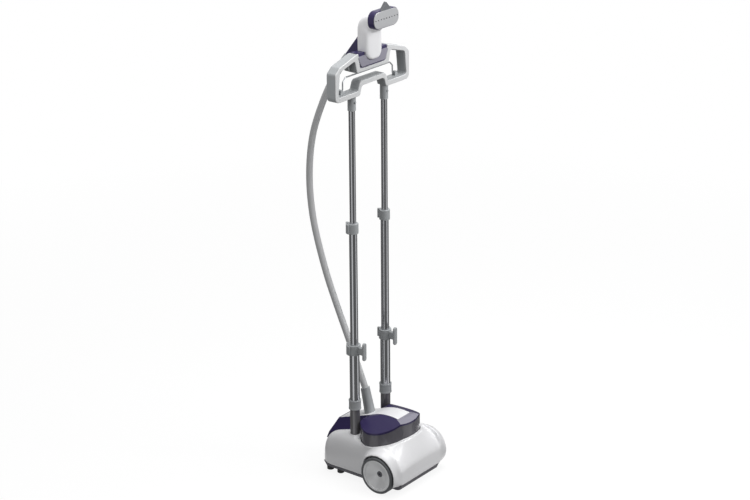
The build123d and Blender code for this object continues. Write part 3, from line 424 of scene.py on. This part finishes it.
def routePoints(route):
    data = bpy.data.curves.new("hoseLine", "CURVE")
    data.dimensions = "3D"
    line = data.splines.new("NURBS")
    line.points.add(len(route) - 1)
    for point, (y, z) in zip(line.points, route):
        point.co = (*spot(0, y, z), 1)
    line.order_u = 3
    line.use_endpoint_u = True
    line.resolution_u = hose["smooth"]
    ob = bpy.data.objects.new("hoseLine", data)
    mesh = bpy.data.meshes.new_from_object(ob)
    points = [v.co.copy() for v in mesh.vertices]
    bpy.data.objects.remove(ob)
    bpy.data.curves.remove(data)
    bpy.data.meshes.remove(mesh)
    return points


def hoseFinish():
    material = makeFinish("hose")
    tree = material.node_tree
    bump = next(n for n in tree.nodes if n.type == "BUMP")
    grain = bump.inputs["Height"].links[0].from_socket
    along = put(tree, "ShaderNodeAttribute", attribute_name="along")
    turns = put(tree, "ShaderNodeMath", {1: 2 * pi / hose["ripple"]}, operation="MULTIPLY")
    wave = put(tree, "ShaderNodeMath", operation="SINE")
    total = put(tree, "ShaderNodeMath", {1: hose["rippleHeight"]}, operation="MULTIPLY_ADD")
    tree.links.new(along.outputs["Fac"], turns.inputs[0])
    tree.links.new(turns.outputs[0], wave.inputs[0])
    tree.links.new(wave.outputs[0], total.inputs[0])
    tree.links.new(grain, total.inputs[2])
    tree.links.new(total.outputs[0], bump.inputs["Height"])
    return material


def acrossTurn(way):  # the hose lies in one upright plane, so one side of it stays across
    side = Vector((1, 0, 0))
    return Matrix((side, way.cross(side), way)).transposed()


def makeHose(part, finish):
    points = routePoints(part["route"])
    bm = bmesh.new()
    along = bm.verts.layers.float.new("along")
    travelled = 0.0
    rings = addTube(bm, points, hose["radius"], hose["sides"], acrossTurn)
    for i, ring in enumerate(rings):
        travelled += (points[i] - points[i - 1]).length if i else 0
        for vert in ring:
            vert[along] = travelled
    for face in bm.faces:
        face.smooth = len(face.verts) == 4
    ob = newObject(part["name"], bm)
    ob.data.materials.append(finish)
    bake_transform(ob)
    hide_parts(part["node"])


braid = hoseFinish()
for part in hoseLengths:
    makeHose(part, braid)
print("hose made")

# Poles: drawn tubes with rolled ends, two to a node
poleTubes = {
    "steps": 64, "roll": 0.35,
    # name, node, wall and finish of each pair
    "pairs": [("poleFeet", "pole_stubs", 1.5, "foot_tube"), ("lowerPoles", "lower_tubes", 1.5, None),
              ("middlePoles", "mid_tubes", 1.2, None), ("topPoles", "top_tubes", 1.2, None)],
}


def spinPair(section, edge, segments):  # a section of radius and height, spun about both poles
    bm = bmesh.new()
    for sign in (-1, 1):
        centre = Vector((sign * poleX, poleY, 0))
        spin(bm, [centre + Vector((r, 0, z)) for r, z in section], centre, (0, 0, 1), poleTubes["steps"])
    soften(bm, edge, segments)
    return bm


def makeTubes(name, node, wall, finish):
    low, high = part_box(node)
    outer = (high.y - low.y) / 2
    inner = outer - wall * mm
    section = [(inner, low.z), (outer, low.z), (outer, high.z), (inner, high.z)]
    addPiece(name, spinPair(section, poleTubes["roll"], 2), node, finish)


for pair in poleTubes["pairs"]:
    makeTubes(*pair)

unionCollar = {"waist": 0.7, "band": 4.0, "slope": 1.2, "edge": 0.9}


def makeUnionCollars():
    low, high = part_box("union_collars")
    outer = (high.y - low.y) / 2
    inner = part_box("lower_tubes")[1].y - poleY
    band = unionCollar["band"] * mm
    waist = outer - unionCollar["waist"] * mm
    waistFrom = band + unionCollar["slope"] * mm
    section = [(inner, low.z), (outer, low.z), (outer, low.z + band), (waist, low.z + waistFrom),
               (waist, high.z - waistFrom), (outer, high.z - band), (outer, high.z), (inner, high.z)]
    addPiece("unionCollars", spinPair(section, unionCollar["edge"], 3), "union_collars")


makeUnionCollars()
print("poles made")

# Cord hooks: rounded plates on short stems at the lower clamps
hook = {
    "plate": 7.0, "half": 7.5, "round": 7.3, "edge": 2.4,
    "stemHalf": 6.0, "stemHalfTall": 12.0, "stemRound": 3.0, "stemFront": 4.2,
}


def makeHooks():
    low, high = ((corner - spot(0, 0, 0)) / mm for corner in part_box("cord_hooks"))
    middle, halfTall = (low.z + high.z) / 2, (high.z - low.z) / 2
    bm = bmesh.new()
    for sign in (-1, 1):
        pole = sign * poleX / mm
        face = roundedBox(pole, middle, hook["half"], halfTall, hook["round"], 9)
        slab(bm, face, low.y + hook["plate"], low.y)
        stem = roundedBox(pole, middle, hook["stemHalf"], hook["stemHalfTall"], hook["stemRound"], 5)
        slab(bm, stem, high.y, low.y + hook["stemFront"])
    soften(bm, hook["edge"], 4, 60)
    addPiece("cordHooks", bm, "cord_hooks")


makeHooks()

# Wheels: dished hubs and grooved tyres, spun about the axle
wheel = {
    "steps": 112, "tread": 57.5, "seat": 50.0, "width": 26.0, "shoulder": 2.6,
    # the last radius on the next line is the hub's middle painted dark: painted shade of the bore
    "grooves": (6.0, 13.0, 20.0), "groove": 1.1, "grooveDepth": 1.3, "bore": 4.2, "eye": 9.6,
    # from the bore out to the seat of the tyre: distance outwards, radius
    "dish": [(7.5, 4.2), (9.5, 4.2), (9.5, 8.4), (8.6, 9.6), (7.0, 10.2), (7.4, 13.5), (11.5, 24.0),
             (18.6, 36.5), (21.6, 41.0), (22.3, 42.8), (24.6, 43.6), (25.7, 45.0), (25.7, 48.6),
             (24.8, 50.0)],
}


def tyreSection():
    seat, tread, width, shoulder = (wheel[k] for k in ("seat", "tread", "width", "shoulder"))
    eased = tread - 0.4 * shoulder  # halfway round the shoulder
    section = [(0.0, seat), (0.0, tread - shoulder), (0.25 * shoulder, eased), (shoulder, tread)]
    for x in wheel["grooves"]:
        half, deep = wheel["groove"], tread - wheel["grooveDepth"]
        section += [(x - half, tread), (x - 0.6 * half, deep), (x + 0.6 * half, deep), (x + half, tread)]
    section += [(width - shoulder, tread), (width - 0.25 * shoulder, eased)]
    return section + [(width, tread - shoulder), (width, seat)]


def spinWheel(centre, inner, sign, section):  # a section spun about the axle
    bm = bmesh.new()
    points = [Vector((sign * (inner + x) * mm, centre.y + r * mm, centre.z)) for x, r in section]
    spin(bm, points, (0, centre.y, centre.z), (1, 0, 0), wheel["steps"])
    return bm


def makeWheel(side, sign):
    low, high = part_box(side + "_tyre")
    centre = (low + high) / 2
    inner = min(abs(low.x), abs(high.x)) / mm
    addPiece(side + "Tyre", spinWheel(centre, inner, sign, tyreSection()), side + "_tyre")
    hubSection = [(0.0, wheel["bore"])] + wheel["dish"] + [(0.0, wheel["seat"])]
    bm = spinWheel(centre, inner, sign, hubSection)
    for face in bm.faces:  # the eye in the middle gets the dark tyre finish: painted shade of the axle bore
        spread = face.calc_center_median() - centre
        face.material_index = int(hypot(spread.y, spread.z) < wheel["eye"] * mm)
    hub = addPiece(side + "Hub", bm, side + "_wheel_hub", "hub")
    hub.data.materials.append(finishes["tyre"])


for side, sign in (("left", -1), ("right", 1)):
    makeWheel(side, sign)
print("wheels made")

# Base housing: a moulded bowl whose rim follows the tank and the rear cowl
housing = {
    "middle": -42.0, "half": 113.0, "deep": 152.0, "frontCorner": 12.0, "rearCorner": 8.0,
    "footRear": 26.5, "footFront": 30.0, "spokes": 168, "rings": 22, "gather": 0.85,
    "voxel": 2.1, "passes": 7,
    "wellIn": 109.4, "wellR": 61.2, "wellDeep": 100.0, "pocketFloor": 75.2, "pocketTop": 260.0,
    "pocketGap": 0.7, "seatHalf": 58.8, "bossR": 18.5, "bossLow": 100.0, "bossTop": 142.0,
    "boreR": 14.7, "boreLow": 10.0, "boreTop": 210.0, "buttonR": 9.8, "buttonDeep": 50.0,
    "flare": 17.0, "flareFrom": 34.0, "flareTo": 48.0,  # front corners, from and to in degrees
    "lipR": 2.7, "lipRise": -0.6, "lipEnd": -26.0, "lipSteps": 240, "lipSides": 14,
    # smoothed again: least and most reach from the axle, least x, most y past the axle, passes
    "eased": [(64.0, 92.0, 96.0, 12.0, 30), (57.0, 70.0, 112.4, 200.0, 14)],
    # x, y, z of the rim, then where the wall starts to turn in and how late and squarely it does
    "rim": [
        (0, -166, 150, 0.42, 1.2, 1.0), (40, -160, 148.5, 0.42, 1.2, 1.0), (78, -142, 140, 0.34, 1.5, 0.95),
        (98, -115, 134.5, 0.15, 2.2, 0.72), (104.5, -90, 129, 0, 2.6, 0.5),
        (106.5, -63, 125.5, 0, 2.4, 0.45), (101.5, -40, 129, 0, 2.6, 0.4), (86, -23, 135, 0, 3.5, 0.3),
        (70, -13, 140.5, 0, 4.0, 0.28), (61, 0, 143, 0, 4.0, 0.28), (59.5, 20, 141, 0, 3.6, 0.32),
        (59.5, 53, 130, 0, 3.0, 0.36), (59.5, 78, 103, 0, 2.6, 0.42), (54, 94, 86, 0, 2.4, 0.45),
        (0, 98, 84, 0, 2.4, 0.45),
    ],
    # y, z of the cut for the rear cowl
    "seat": [(-22.0, 145.2), (30.0, 132.2), (119.5, 80.5), (129.0, 80.5), (129.0, 260.0), (-22.0, 260.0)],
}
guard = {
    "from": -117.0, "to": 112.0, "steps": 74, "fadeFront": 4.0, "fadeRear": 75.0,  # degrees about the axle
    "tuckFrom": -40.0, "tuckTo": -85.0, "tuckShare": 0.22,
    "leastOut": 0.3, "leastRise": 0.5, "leastWall": 4.5,
    # distance from the middle, radius about the axle
    "section": [(102, 61.2), (132.5, 61.2), (134.6, 62.8), (134.2, 65.2), (131, 67.2), (124, 70),
                (115, 75), (102, 82)],
}
tankPlan = {"half": 104.0, "middle": -70.0, "fore": 88.0, "aft": 72.0, "back": -22.0}


def between(table, at):  # values of a table at a place, by straight steps
    for first, second in zip(table, table[1:]):
        if at <= second[0]:
            share = (at - first[0]) / (second[0] - first[0])
            return [a + (b - a) * share for a, b in zip(first[1:], second[1:])]
    return table[-1][1:]


def easeIn(share):  # 0 to 1 with a soft start and end
    share = min(1.0, max(0.0, share))
    return share * share * (3 - 2 * share)


def rimAt(across, along):  # inner reach, height and turning of the wall in one direction
    middle = housing["middle"]
    rim = [(atan2(y - middle, x), hypot(x, y - middle), *turning) for x, y, *turning in housing["rim"]]
    return between(rim, atan2(along, abs(across)))


def housingBody():
    middle = housing["middle"]
    columns = []
    for k in range(housing["spokes"]):
        angle = 2 * pi * k / housing["spokes"]
        across, along = cos(angle), sin(angle)
        power = housing["rearCorner"] if along > 0 else housing["frontCorner"]
        ahead = -atan2(along, abs(across)) / pi * 180
        flared = (ahead - housing["flareFrom"]) / (housing["flareTo"] - housing["flareFrom"])
        half = housing["half"] + housing["flare"] * easeIn(flared)
        reach = (abs(across / half) ** power + abs(along / housing["deep"]) ** power) ** (-1 / power)
        inner, top, start, late, square = rimAt(across, along)
        forward = (1 - along * reach / housing["deep"]) / 2
        foot = housing["footRear"] + (housing["footFront"] - housing["footRear"]) * forward
        column = []
        for j in range(housing["rings"] + 1):
            rise = sin(pi / 2 * j / housing["rings"]) ** housing["gather"]
            turned = max(0.0, (rise - start) / (1 - start))
            out = inner + (reach - inner) * max(0.0, 1 - turned ** late) ** square
            column.append(spot(across * out, middle + along * out, foot + (top - foot) * rise))
        columns.append(column)
    bm = bmesh.new()
    loft(bm, [list(ring) for ring in zip(*columns)])
    return bm


def tankOutline(gap, steps=120):  # from the rear, so that an open stretch of it runs unbroken
    plan = tankPlan
    points = []
    for k in range(steps):
        angle = pi / 2 + 2 * pi * k / steps
        deep = (plan["aft"] if sin(angle) > 0 else plan["fore"]) + gap
        y = min(plan["middle"] + deep * sin(angle), plan["back"] + gap)
        points.append(((plan["half"] + gap) * cos(angle), y))
    return points


def tankPocket():
    points = tankOutline(housing["pocketGap"])
    bm = bmesh.new()
    loft(bm, [[spot(x, y, z) for x, y in points] for z in (housing["pocketFloor"], housing["pocketTop"])])
    return bm


def cowlSeat():
    half = housing["seatHalf"]
    bm = bmesh.new()
    loft(bm, [[spot(x, y, z) for y, z in housing["seat"]] for x in (-half, half)])
    return bm


def uprightTurn(way):
    return way.to_track_quat("Z", "Y").to_matrix()


def tankLip():  # bead round the mouth of the tank pocket
    points = []
    for x, y in tankOutline(housing["pocketGap"] + housing["lipR"], housing["lipSteps"]):
        top = rimAt(x, y - housing["middle"])[1]
        if y < housing["lipEnd"]:
            points.append(spot(x, y, top + housing["lipRise"]))
    bm = bmesh.new()
    addTube(bm, points, housing["lipR"], housing["lipSides"], uprightTurn)
    return bm


def wheelGuard(sign, axle):
    foot, bore = guard["section"][0]
    tuckFrom, tuckTo, tuckShare = (guard[k] for k in ("tuckFrom", "tuckTo", "tuckShare"))
    leastOut, leastRise = guard["leastOut"], guard["leastRise"]
    rings = []
    for k in range(guard["steps"] + 1):
        turn = guard["from"] + (guard["to"] - guard["from"]) * k / guard["steps"]
        front, rear = (turn - guard["from"]) / guard["fadeFront"], (guard["to"] - turn) / guard["fadeRear"]
        ease = easeIn(min(front, rear))
        tuck = 1 - (1 - tuckShare) * min(1.0, max(0.0, (turn - tuckFrom) / (tuckTo - tuckFrom)))
        ring = []
        for x, r in guard["section"]:
            wall = max(tuck, min(1.0, guard["leastWall"] / max(r - bore, 1.0)))
            out = foot + (x - foot) * (leastOut + (1 - leastOut) * ease)
            radius = (bore + (r - bore) * (leastRise + (1 - leastRise) * ease) * wall) * mm
            back, up = radius * sin(radians(turn)), radius * cos(radians(turn))
            ring.append(Vector((sign * out * mm, axle.y + back, axle.z + up)))
        rings.append(ring)
    bm = bmesh.new()
    loft(bm, rings)
    return bm


def wheelWell(sign, axle):
    middle = housing["wellIn"] + housing["wellDeep"] / 2
    return drum(housing["wellR"], (sign * middle * mm, axle.y, axle.z), (sign, 0, 0), housing["wellDeep"])


def poleDrum(sign, radius, low, top):
    return drum(radius, (sign * poleX, poleY, (low + top) / 2 * mm), (0, 0, 1), top - low, 64)


def buttonWay():
    low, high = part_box("power_button")
    middle = (low + high) / 2
    place = (middle.x, low.y + housing["buttonDeep"] / 2 * mm, middle.z)
    return drum(housing["buttonR"], place, (0, 1, 0), housing["buttonDeep"], 48)


def makeHousing():
    low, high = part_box("left_tyre")
    axle = (low + high) / 2
    bosses = [poleDrum(s, housing["bossR"], housing["bossLow"], housing["bossTop"]) for s in (-1, 1)]
    bores = [poleDrum(s, housing["boreR"], housing["boreLow"], housing["boreTop"]) for s in (-1, 1)]
    wells = [wheelWell(s, axle) for s in (-1, 1)]
    body = carve(housingBody(), bosses, "UNION")
    body = carve(body, wells + [tankPocket(), cowlSeat(), buttonWay()] + bores)
    for sign in (-1, 1):
        mergeIn(body, wheelGuard(sign, axle))
    whole = newObject("working", body)
    skin = whole.modifiers.new("skin", "REMESH")
    skin.mode = "VOXEL"
    skin.voxel_size = housing["voxel"] * mm
    bm = settle(whole)
    relax(bm, bm.verts, housing["passes"])
    for near, far, side, back, passes in housing["eased"]:  # arches into the front, then their edges
        chosen = [v for v in bm.verts if abs(v.co.x) > side * mm and v.co.y < axle.y + back * mm
                  and near * mm < hypot(v.co.y - axle.y, v.co.z - axle.z) < far * mm]
        relax(bm, chosen, passes)
    mergeIn(bm, tankLip())
    print("housing skin,", len(bm.faces), "faces")
    addPiece("baseHousing", bm, "base_shell", turn=180)


makeHousing()

# Handset shell: an upright body that bends over into the round neck of the head
handset = {
    "front": -30.0, "rear": 15.0, "half": 36.0, "leastHalf": 4.0, "foot": 1294.0, "footRound": 26.5,
    "edge": 6.0, "square": 4.4, "seam": 0.7, "pivot": (-33.0, 1371.0),
    "seamEdge": (0.022, 0.05), "quarter": (0.25, 0.45, 0.62, 0.74),  # shares of a ring's half
    "lifts": (0.0, 0.6, 2.0, 4.5, 8.0, 13.0, 19.0, 26.5, 45.0, 62.0),  # rings above the foot
    # turn, inner and outer reach from the pivot, half width, squareness
    "bend": [(0, 3.0, 48.0, 36.0, 4.4), (18, 3.0, 51.0, 35.6, 4.2), (38, 3.0, 57.0, 34.2, 3.8),
             (62, 3.0, 60.0, 31.0, 3.2), (90, 3.0, 57.0, 26.5, 2.6)],
    "neck": {"y": -46.5, "half": 25.0, "draw": 2.0, "square": 2.3},
}


def squaredRing(half, deep, power):  # quarter by quarter, with a narrow seam on each side
    diagonal = 2 ** (-1 / power)
    rise = handset["quarter"]
    quarter = [((1 - t ** power) ** (1 / power), t) for t in (*handset["seamEdge"], *rise, diagonal)]
    quarter += [(s, (1 - s ** power) ** (1 / power)) for s in reversed(rise)]
    right = [(s * half, -t * deep) for s, t in reversed(quarter)]
    right += [(half - handset["seam"], 0.0)] + [(s * half, t * deep) for s, t in quarter]
    return right + [(0.0, deep)] + [(-x, t) for x, t in reversed(right)] + [(0.0, -deep)]


def makeHandset():
    middle = (handset["front"] + handset["rear"]) / 2
    deep = (handset["rear"] - handset["front"]) / 2
    rings = []
    for lift in handset["lifts"]:
        low = min(lift, handset["footRound"])
        side = handset["half"] - handset["footRound"]
        side += (handset["footRound"] ** 2 - (handset["footRound"] - low) ** 2) ** 0.5
        edge = handset["edge"] - min(lift, handset["edge"])
        thick = deep - handset["edge"] + (handset["edge"] ** 2 - edge ** 2) ** 0.5
        ring = squaredRing(max(side, handset["leastHalf"]), thick, handset["square"])
        rings.append([spot(x, middle + t, handset["foot"] + lift) for x, t in ring])
    pivotY, pivotZ = handset["pivot"]
    for turn, inner, outer, half, power in handset["bend"]:
        reach, thick = (inner + outer) / 2, (outer - inner) / 2
        across, up = cos(radians(turn)), sin(radians(turn))
        ring = squaredRing(half, thick, power)
        rings.append([spot(x, pivotY + (reach + t) * across, pivotZ + (reach + t) * up) for x, t in ring])
    neck = handset["neck"]
    ring = squaredRing(neck["half"], thick - neck["draw"], neck["square"])
    rings.append([spot(x, neck["y"], pivotZ + reach + t) for x, t in ring])
    bm = bmesh.new()
    loft(bm, rings)
    addPiece("handsetShell", bm, "handset_shell", turn=60, subdivide=1)


makeHandset()
print("handset made")

# Steam plate: rounded plate with a row of steam holes and a dark pointed tip
plate = {
    "half": 56.0, "halfTall": 24.0, "middle": 1417.0, "corner": 21.0, "rear": -66.0, "front": -69.0,
    "edge": 0.9,
    "hole": 2.0, "holes": 9, "pitch": 12.2, "rise": 1.0, "drill": 12.0,
    "tip": [(-27, 1437), (27, 1437), (0, 1465)], "tipRound": 2.2, "tipEdge": 1.4, "tipRear": -59.5,
    "tipFront": -68.0,
}


def makePlate():
    bm = bmesh.new()
    face = roundedBox(0, plate["middle"], plate["half"], plate["halfTall"], plate["corner"], 10)
    slab(bm, face, plate["rear"], plate["front"])
    soften(bm, plate["edge"], 3)
    drills = []
    for k in range(plate["holes"]):
        along = (k - (plate["holes"] - 1) / 2) * plate["pitch"]
        place = spot(along, plate["front"], plate["middle"] + plate["rise"])
        drills.append(drum(plate["hole"], place, (0, 1, 0), plate["drill"], 20))
    bm = carve(bm, drills)
    tip = bmesh.new()
    corners = [(x, z, plate["tipRound"]) for x, z in plate["tip"]]
    slab(tip, roundedLoop(corners, 4), plate["tipRear"], plate["tipFront"])
    soften(tip, plate["tipEdge"], 3)
    for face in tip.faces:
        face.material_index = 1
    mergeIn(bm, tip)
    ob = addPiece("steamPlate", bm, "steam_plate")
    ob.data.materials.append(finishes["tyre"])


makePlate()

# Hanger front trim and the cradle's pale plate, drawn as right halves: x, z and radius of each corner
trim = {
    "rear": -16.0, "front": -20.0, "edge": 1.4,
    "half": [(0, 1276, 0), (59, 1276, 11), (67, 1321, 2), (77, 1319, 5), (150, 1298, 14), (170, 1281, 11),
             (170, 1198, 16), (61, 1198, 8), (52, 1226, 14), (0, 1226, 0), (0, 1239.4, 0),
             (59.2, 1239.4, 14), (69.2, 1212.4, 6), (157.6, 1212.4, 9), (149.5, 1284.5, 11),
             (81.9, 1303, 6), (72.6, 1266.6, 6), (0, 1266.6, 0)],
}
cradlePlate = {
    "rear": -18.0, "front": -21.5, "edge": 0.9,
    "half": [(0, 1292.8, 0), (37.2, 1292.8, 27.2), (37.2, 1312, 1.5), (70.0, 1312, 5), (54.5, 1280.5, 11),
             (0, 1280.5, 0)],
}


def makeHalves(name, node, form):  # one half as a slab, its free edges rounded, then mirrored
    bm = bmesh.new()
    slab(bm, roundedLoop(form["half"]), form["rear"], form["front"])
    inner = [f for f in bm.faces if abs(f.normal.x) > 0.99 and abs(f.calc_center_median().x) < seamGap]
    bmesh.ops.delete(bm, geom=inner, context="FACES_ONLY")
    soften(bm, form["edge"], 3)
    bmesh.ops.mirror(bm, geom=bm.verts[:] + bm.edges[:] + bm.faces[:], axis="X", merge_dist=seamGap)
    bmesh.ops.recalc_face_normals(bm, faces=bm.faces)
    addPiece(name, bm, node)


makeHalves("hangerTrim", "hanger_trim", trim)
makeHalves("cradlePlate", "cradle_front", cradlePlate)
print("hanger front made")

# Pieces whose own shape is right, with their moulded or rolled edges
edgeRounding = {
    "lower_clamps": 1.2, "mid_clamps": 1.1,
    "left_lower_lever": 1.2, "right_lower_lever": 1.2, "left_mid_lever": 1.1, "right_mid_lever": 1.1,
    "hanger_body": 3.0, "cradle_body": 1.6,
    "left_snap_button": 0.7, "right_snap_button": 0.7,
    "handset_grip": 1.6, "head_bezel": 2.6, "handset_cuff": 1.2,
    "hose_connector": 1.2, "rear_cowl": 1.4, "rear_lid": 0.8, "tank_lid": 0.8, "tank_roof": 1.2,
    "tank_bowl": 0.8, "base_tray": 1.2, "floor_feet": 1.2, "power_button": 1.0, "cord_gland": 0.9,
    "filler_cap": 0.8,
}


def pieceName(node):
    first, *rest = node.split("_")
    return first + "".join(word.title() for word in rest)


def paintedHighlightFacet(ob):  # the tank roof's up-facing front facet gets the paler lavender finish: a painted highlight where the violet faces the lamps
    ob.data.materials.append(finishes["lavender"])
    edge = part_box("tank_lid")[0].y
    for face in ob.data.polygons:
        if face.center.y < edge and face.normal.z > 0.5 and abs(face.normal.x) < 0.2:
            face.material_index = 1


bailBore = {"height": 1220.5, "reach": 2.4, "half": 100.0}


def closeBore(bm):  # fills the bail's bore where it runs on through the hanger's sloping walls
    line = spot(0, 0, bailBore["height"])
    bored = [v for v in bm.verts if abs(v.co.x) < bailBore["half"] * mm
             and hypot(v.co.y - line.y, v.co.z - line.z) < bailBore["reach"] * mm]
    bmesh.ops.delete(bm, geom=bored, context="VERTS")
    bmesh.ops.holes_fill(bm, edges=[e for e in bm.edges if e.is_boundary])
    bmesh.ops.recalc_face_normals(bm, faces=bm.faces)


for node, width in edgeRounding.items():
    bm = nodeCopy(node)
    if node == "hanger_body":
        closeBore(bm)
    soften(bm, width)
    piece = addPiece(pieceName(node), bm, node)
    # the roof's front facet carries a painted highlight
    if node == "tank_roof":
        paintedHighlightFacet(piece)
print("rounded pieces made,", len(edgeRounding))


# Valve spring between the tank and the plunger, which shortens in use: shaded smooth as it stands
def makeSpring():
    bm = nodeCopy("valve_spring")
    for face in bm.faces:
        face.smooth = True
    ob = newObject("valveSpring", bm)
    ob.data.materials.append(finishes["steel"])
    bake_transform(ob)
    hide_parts("valve_spring")


makeSpring()
# the steel axle gets the dark finish: painted shade down the hub's bore
nodes["axle"].data.materials[0] = finishes["dark"]
print("spring and axle made")

# Floor and light
studio = {
    "floor": 30.0, "albedo": 0.28, "lift": 0.70, "dull": 0.8, "ambient": 0.21,
    "white": 0.88, "whiteFrom": 0.7, "whiteTo": 3.2,  # the floor turns pure white away from the object
    "flags": [(199, 279), (311, 527)],  # compass stretches that the poles mirror as dark
    "flagIn": 0.27, "flagR": 0.75, "flagLow": 0.003, "flagTop": 1.05, "flagSteps": 24, "flagTone": 0.18,
}
lamps = [
    {"name": "frontKey", "place": (0.7, -1.6, 2.0), "aim": (0, 0, 1.35), "size": (1.0, 1.2), "power": 32,
     "mirrored": True},
    {"name": "topFill", "place": (0.55, -0.05, 4.15), "aim": (0, 0, 0.5), "size": (2.4, 2.4), "power": 116,
     "mirrored": True},
    {"name": "sideFill", "place": (-1.6, -0.1, 1.8), "aim": (0, 0, 1.35), "size": (0.8, 0.8), "power": 9,
     "mirrored": False},
]


def seenRays(tree):  # 1 where the camera, a mirror or clear plastic sees the surface
    path = put(tree, "ShaderNodeLightPath")
    first = put(tree, "ShaderNodeMath", operation="MAXIMUM")
    second = put(tree, "ShaderNodeMath", operation="MAXIMUM")
    tree.links.new(path.outputs["Is Camera Ray"], first.inputs[0])
    tree.links.new(path.outputs["Is Glossy Ray"], first.inputs[1])
    tree.links.new(first.outputs[0], second.inputs[0])
    tree.links.new(path.outputs["Is Transmission Ray"], second.inputs[1])
    return second.outputs[0]


def stageObject(name, bm):
    ob = newObject(name, bm)
    material = bpy.data.materials.new(name)
    material.use_nodes = True
    ob.data.materials.append(material)
    return ob, material.node_tree


def makeFloor():
    bm = bmesh.new()
    bmesh.ops.create_grid(bm, x_segments=1, y_segments=1, size=studio["floor"])
    tree = stageObject("floor", bm)[1]
    shader = tree.nodes["Principled BSDF"]
    tones = {1: studio["lift"], 2: studio["albedo"]}
    tone = put(tree, "ShaderNodeMath", tones, operation="MULTIPLY_ADD")
    seen = seenRays(tree)
    tree.links.new(seen, tone.inputs[0])
    tree.links.new(tone.outputs[0], shader.inputs["Base Color"])
    shader.inputs["Roughness"].default_value = studio["dull"]
    shader.inputs["Specular IOR Level"].default_value = 0.0
    bright = put(tree, "ShaderNodeEmission", {"Strength": 1.0})
    mix = put(tree, "ShaderNodeMixShader")
    coords = put(tree, "ShaderNodeTexCoord")
    away = put(tree, "ShaderNodeVectorMath", operation="LENGTH")
    stretch = {"From Min": studio["whiteFrom"], "From Max": studio["whiteTo"]}
    white = put(tree, "ShaderNodeMapRange", {**stretch, "To Min": studio["white"], "To Max": 1.0})
    share = put(tree, "ShaderNodeMath", operation="MULTIPLY")
    tree.links.new(coords.outputs["Object"], away.inputs[0])
    tree.links.new(away.outputs["Value"], white.inputs["Value"])
    tree.links.new(seen, share.inputs[0])
    tree.links.new(white.outputs["Result"], share.inputs[1])
    tree.links.new(share.outputs[0], mix.inputs["Fac"])
    tree.links.new(shader.outputs["BSDF"], mix.inputs[1])
    tree.links.new(bright.outputs["Emission"], mix.inputs[2])
    tree.links.new(mix.outputs["Shader"], tree.nodes["Material Output"].inputs["Surface"])


def makeFlags():  # dark studio flags, there only for what is mirrored
    bm = bmesh.new()
    low, top = studio["flagLow"], studio["flagTop"]
    section = [(studio["flagIn"], low), (studio["flagR"], low), (studio["flagR"], top)]
    for start, end in studio["flags"]:
        across, along = cos(radians(start)), sin(radians(start))
        verts = [bm.verts.new((r * across, r * along, z)) for r, z in section]
        edges = [bm.edges.new(pair) for pair in zip(verts, verts[1:])]
        bmesh.ops.spin(bm, geom=verts + edges, cent=(0, 0, 0), axis=(0, 0, 1), angle=radians(end - start),
                       steps=studio["flagSteps"])
    flags, tree = stageObject("flags", bm)
    dark = put(tree, "ShaderNodeEmission", {"Strength": studio["flagTone"]})
    tree.links.new(dark.outputs["Emission"], tree.nodes["Material Output"].inputs["Surface"])
    flags.visible_camera = False
    flags.visible_diffuse = False
    flags.visible_transmission = False
    flags.visible_shadow = False


def makeWorld():
    world = bpy.data.worlds.new("studio")
    scene.world = world
    world.use_nodes = True
    tree = world.node_tree
    background = tree.nodes["Background"]
    background.inputs["Color"].default_value = (1.0, 1.0, 1.0, 1.0)
    levels = {1: 1 - studio["ambient"], 2: studio["ambient"]}
    strength = put(tree, "ShaderNodeMath", levels, operation="MULTIPLY_ADD")
    tree.links.new(seenRays(tree), strength.inputs[0])
    tree.links.new(strength.outputs[0], background.inputs["Strength"])


def addSoftbox(name, place, aim, size, power, mirrored):
    data = bpy.data.lights.new(name, "AREA")
    data.shape = "RECTANGLE"
    data.size, data.size_y = size
    data.energy = power
    lamp = bpy.data.objects.new(name, data)
    scene.collection.objects.link(lamp)
    lamp.location = place
    lamp.rotation_euler = (Vector(aim) - Vector(place)).to_track_quat("-Z", "Y").to_euler()
    lamp.visible_camera = False
    lamp.visible_glossy = mirrored


makeFloor()
makeFlags()
makeWorld()
for lamp in lamps:
    addSoftbox(**lamp)
scene.view_settings.view_transform = "Standard"
print("stage set")
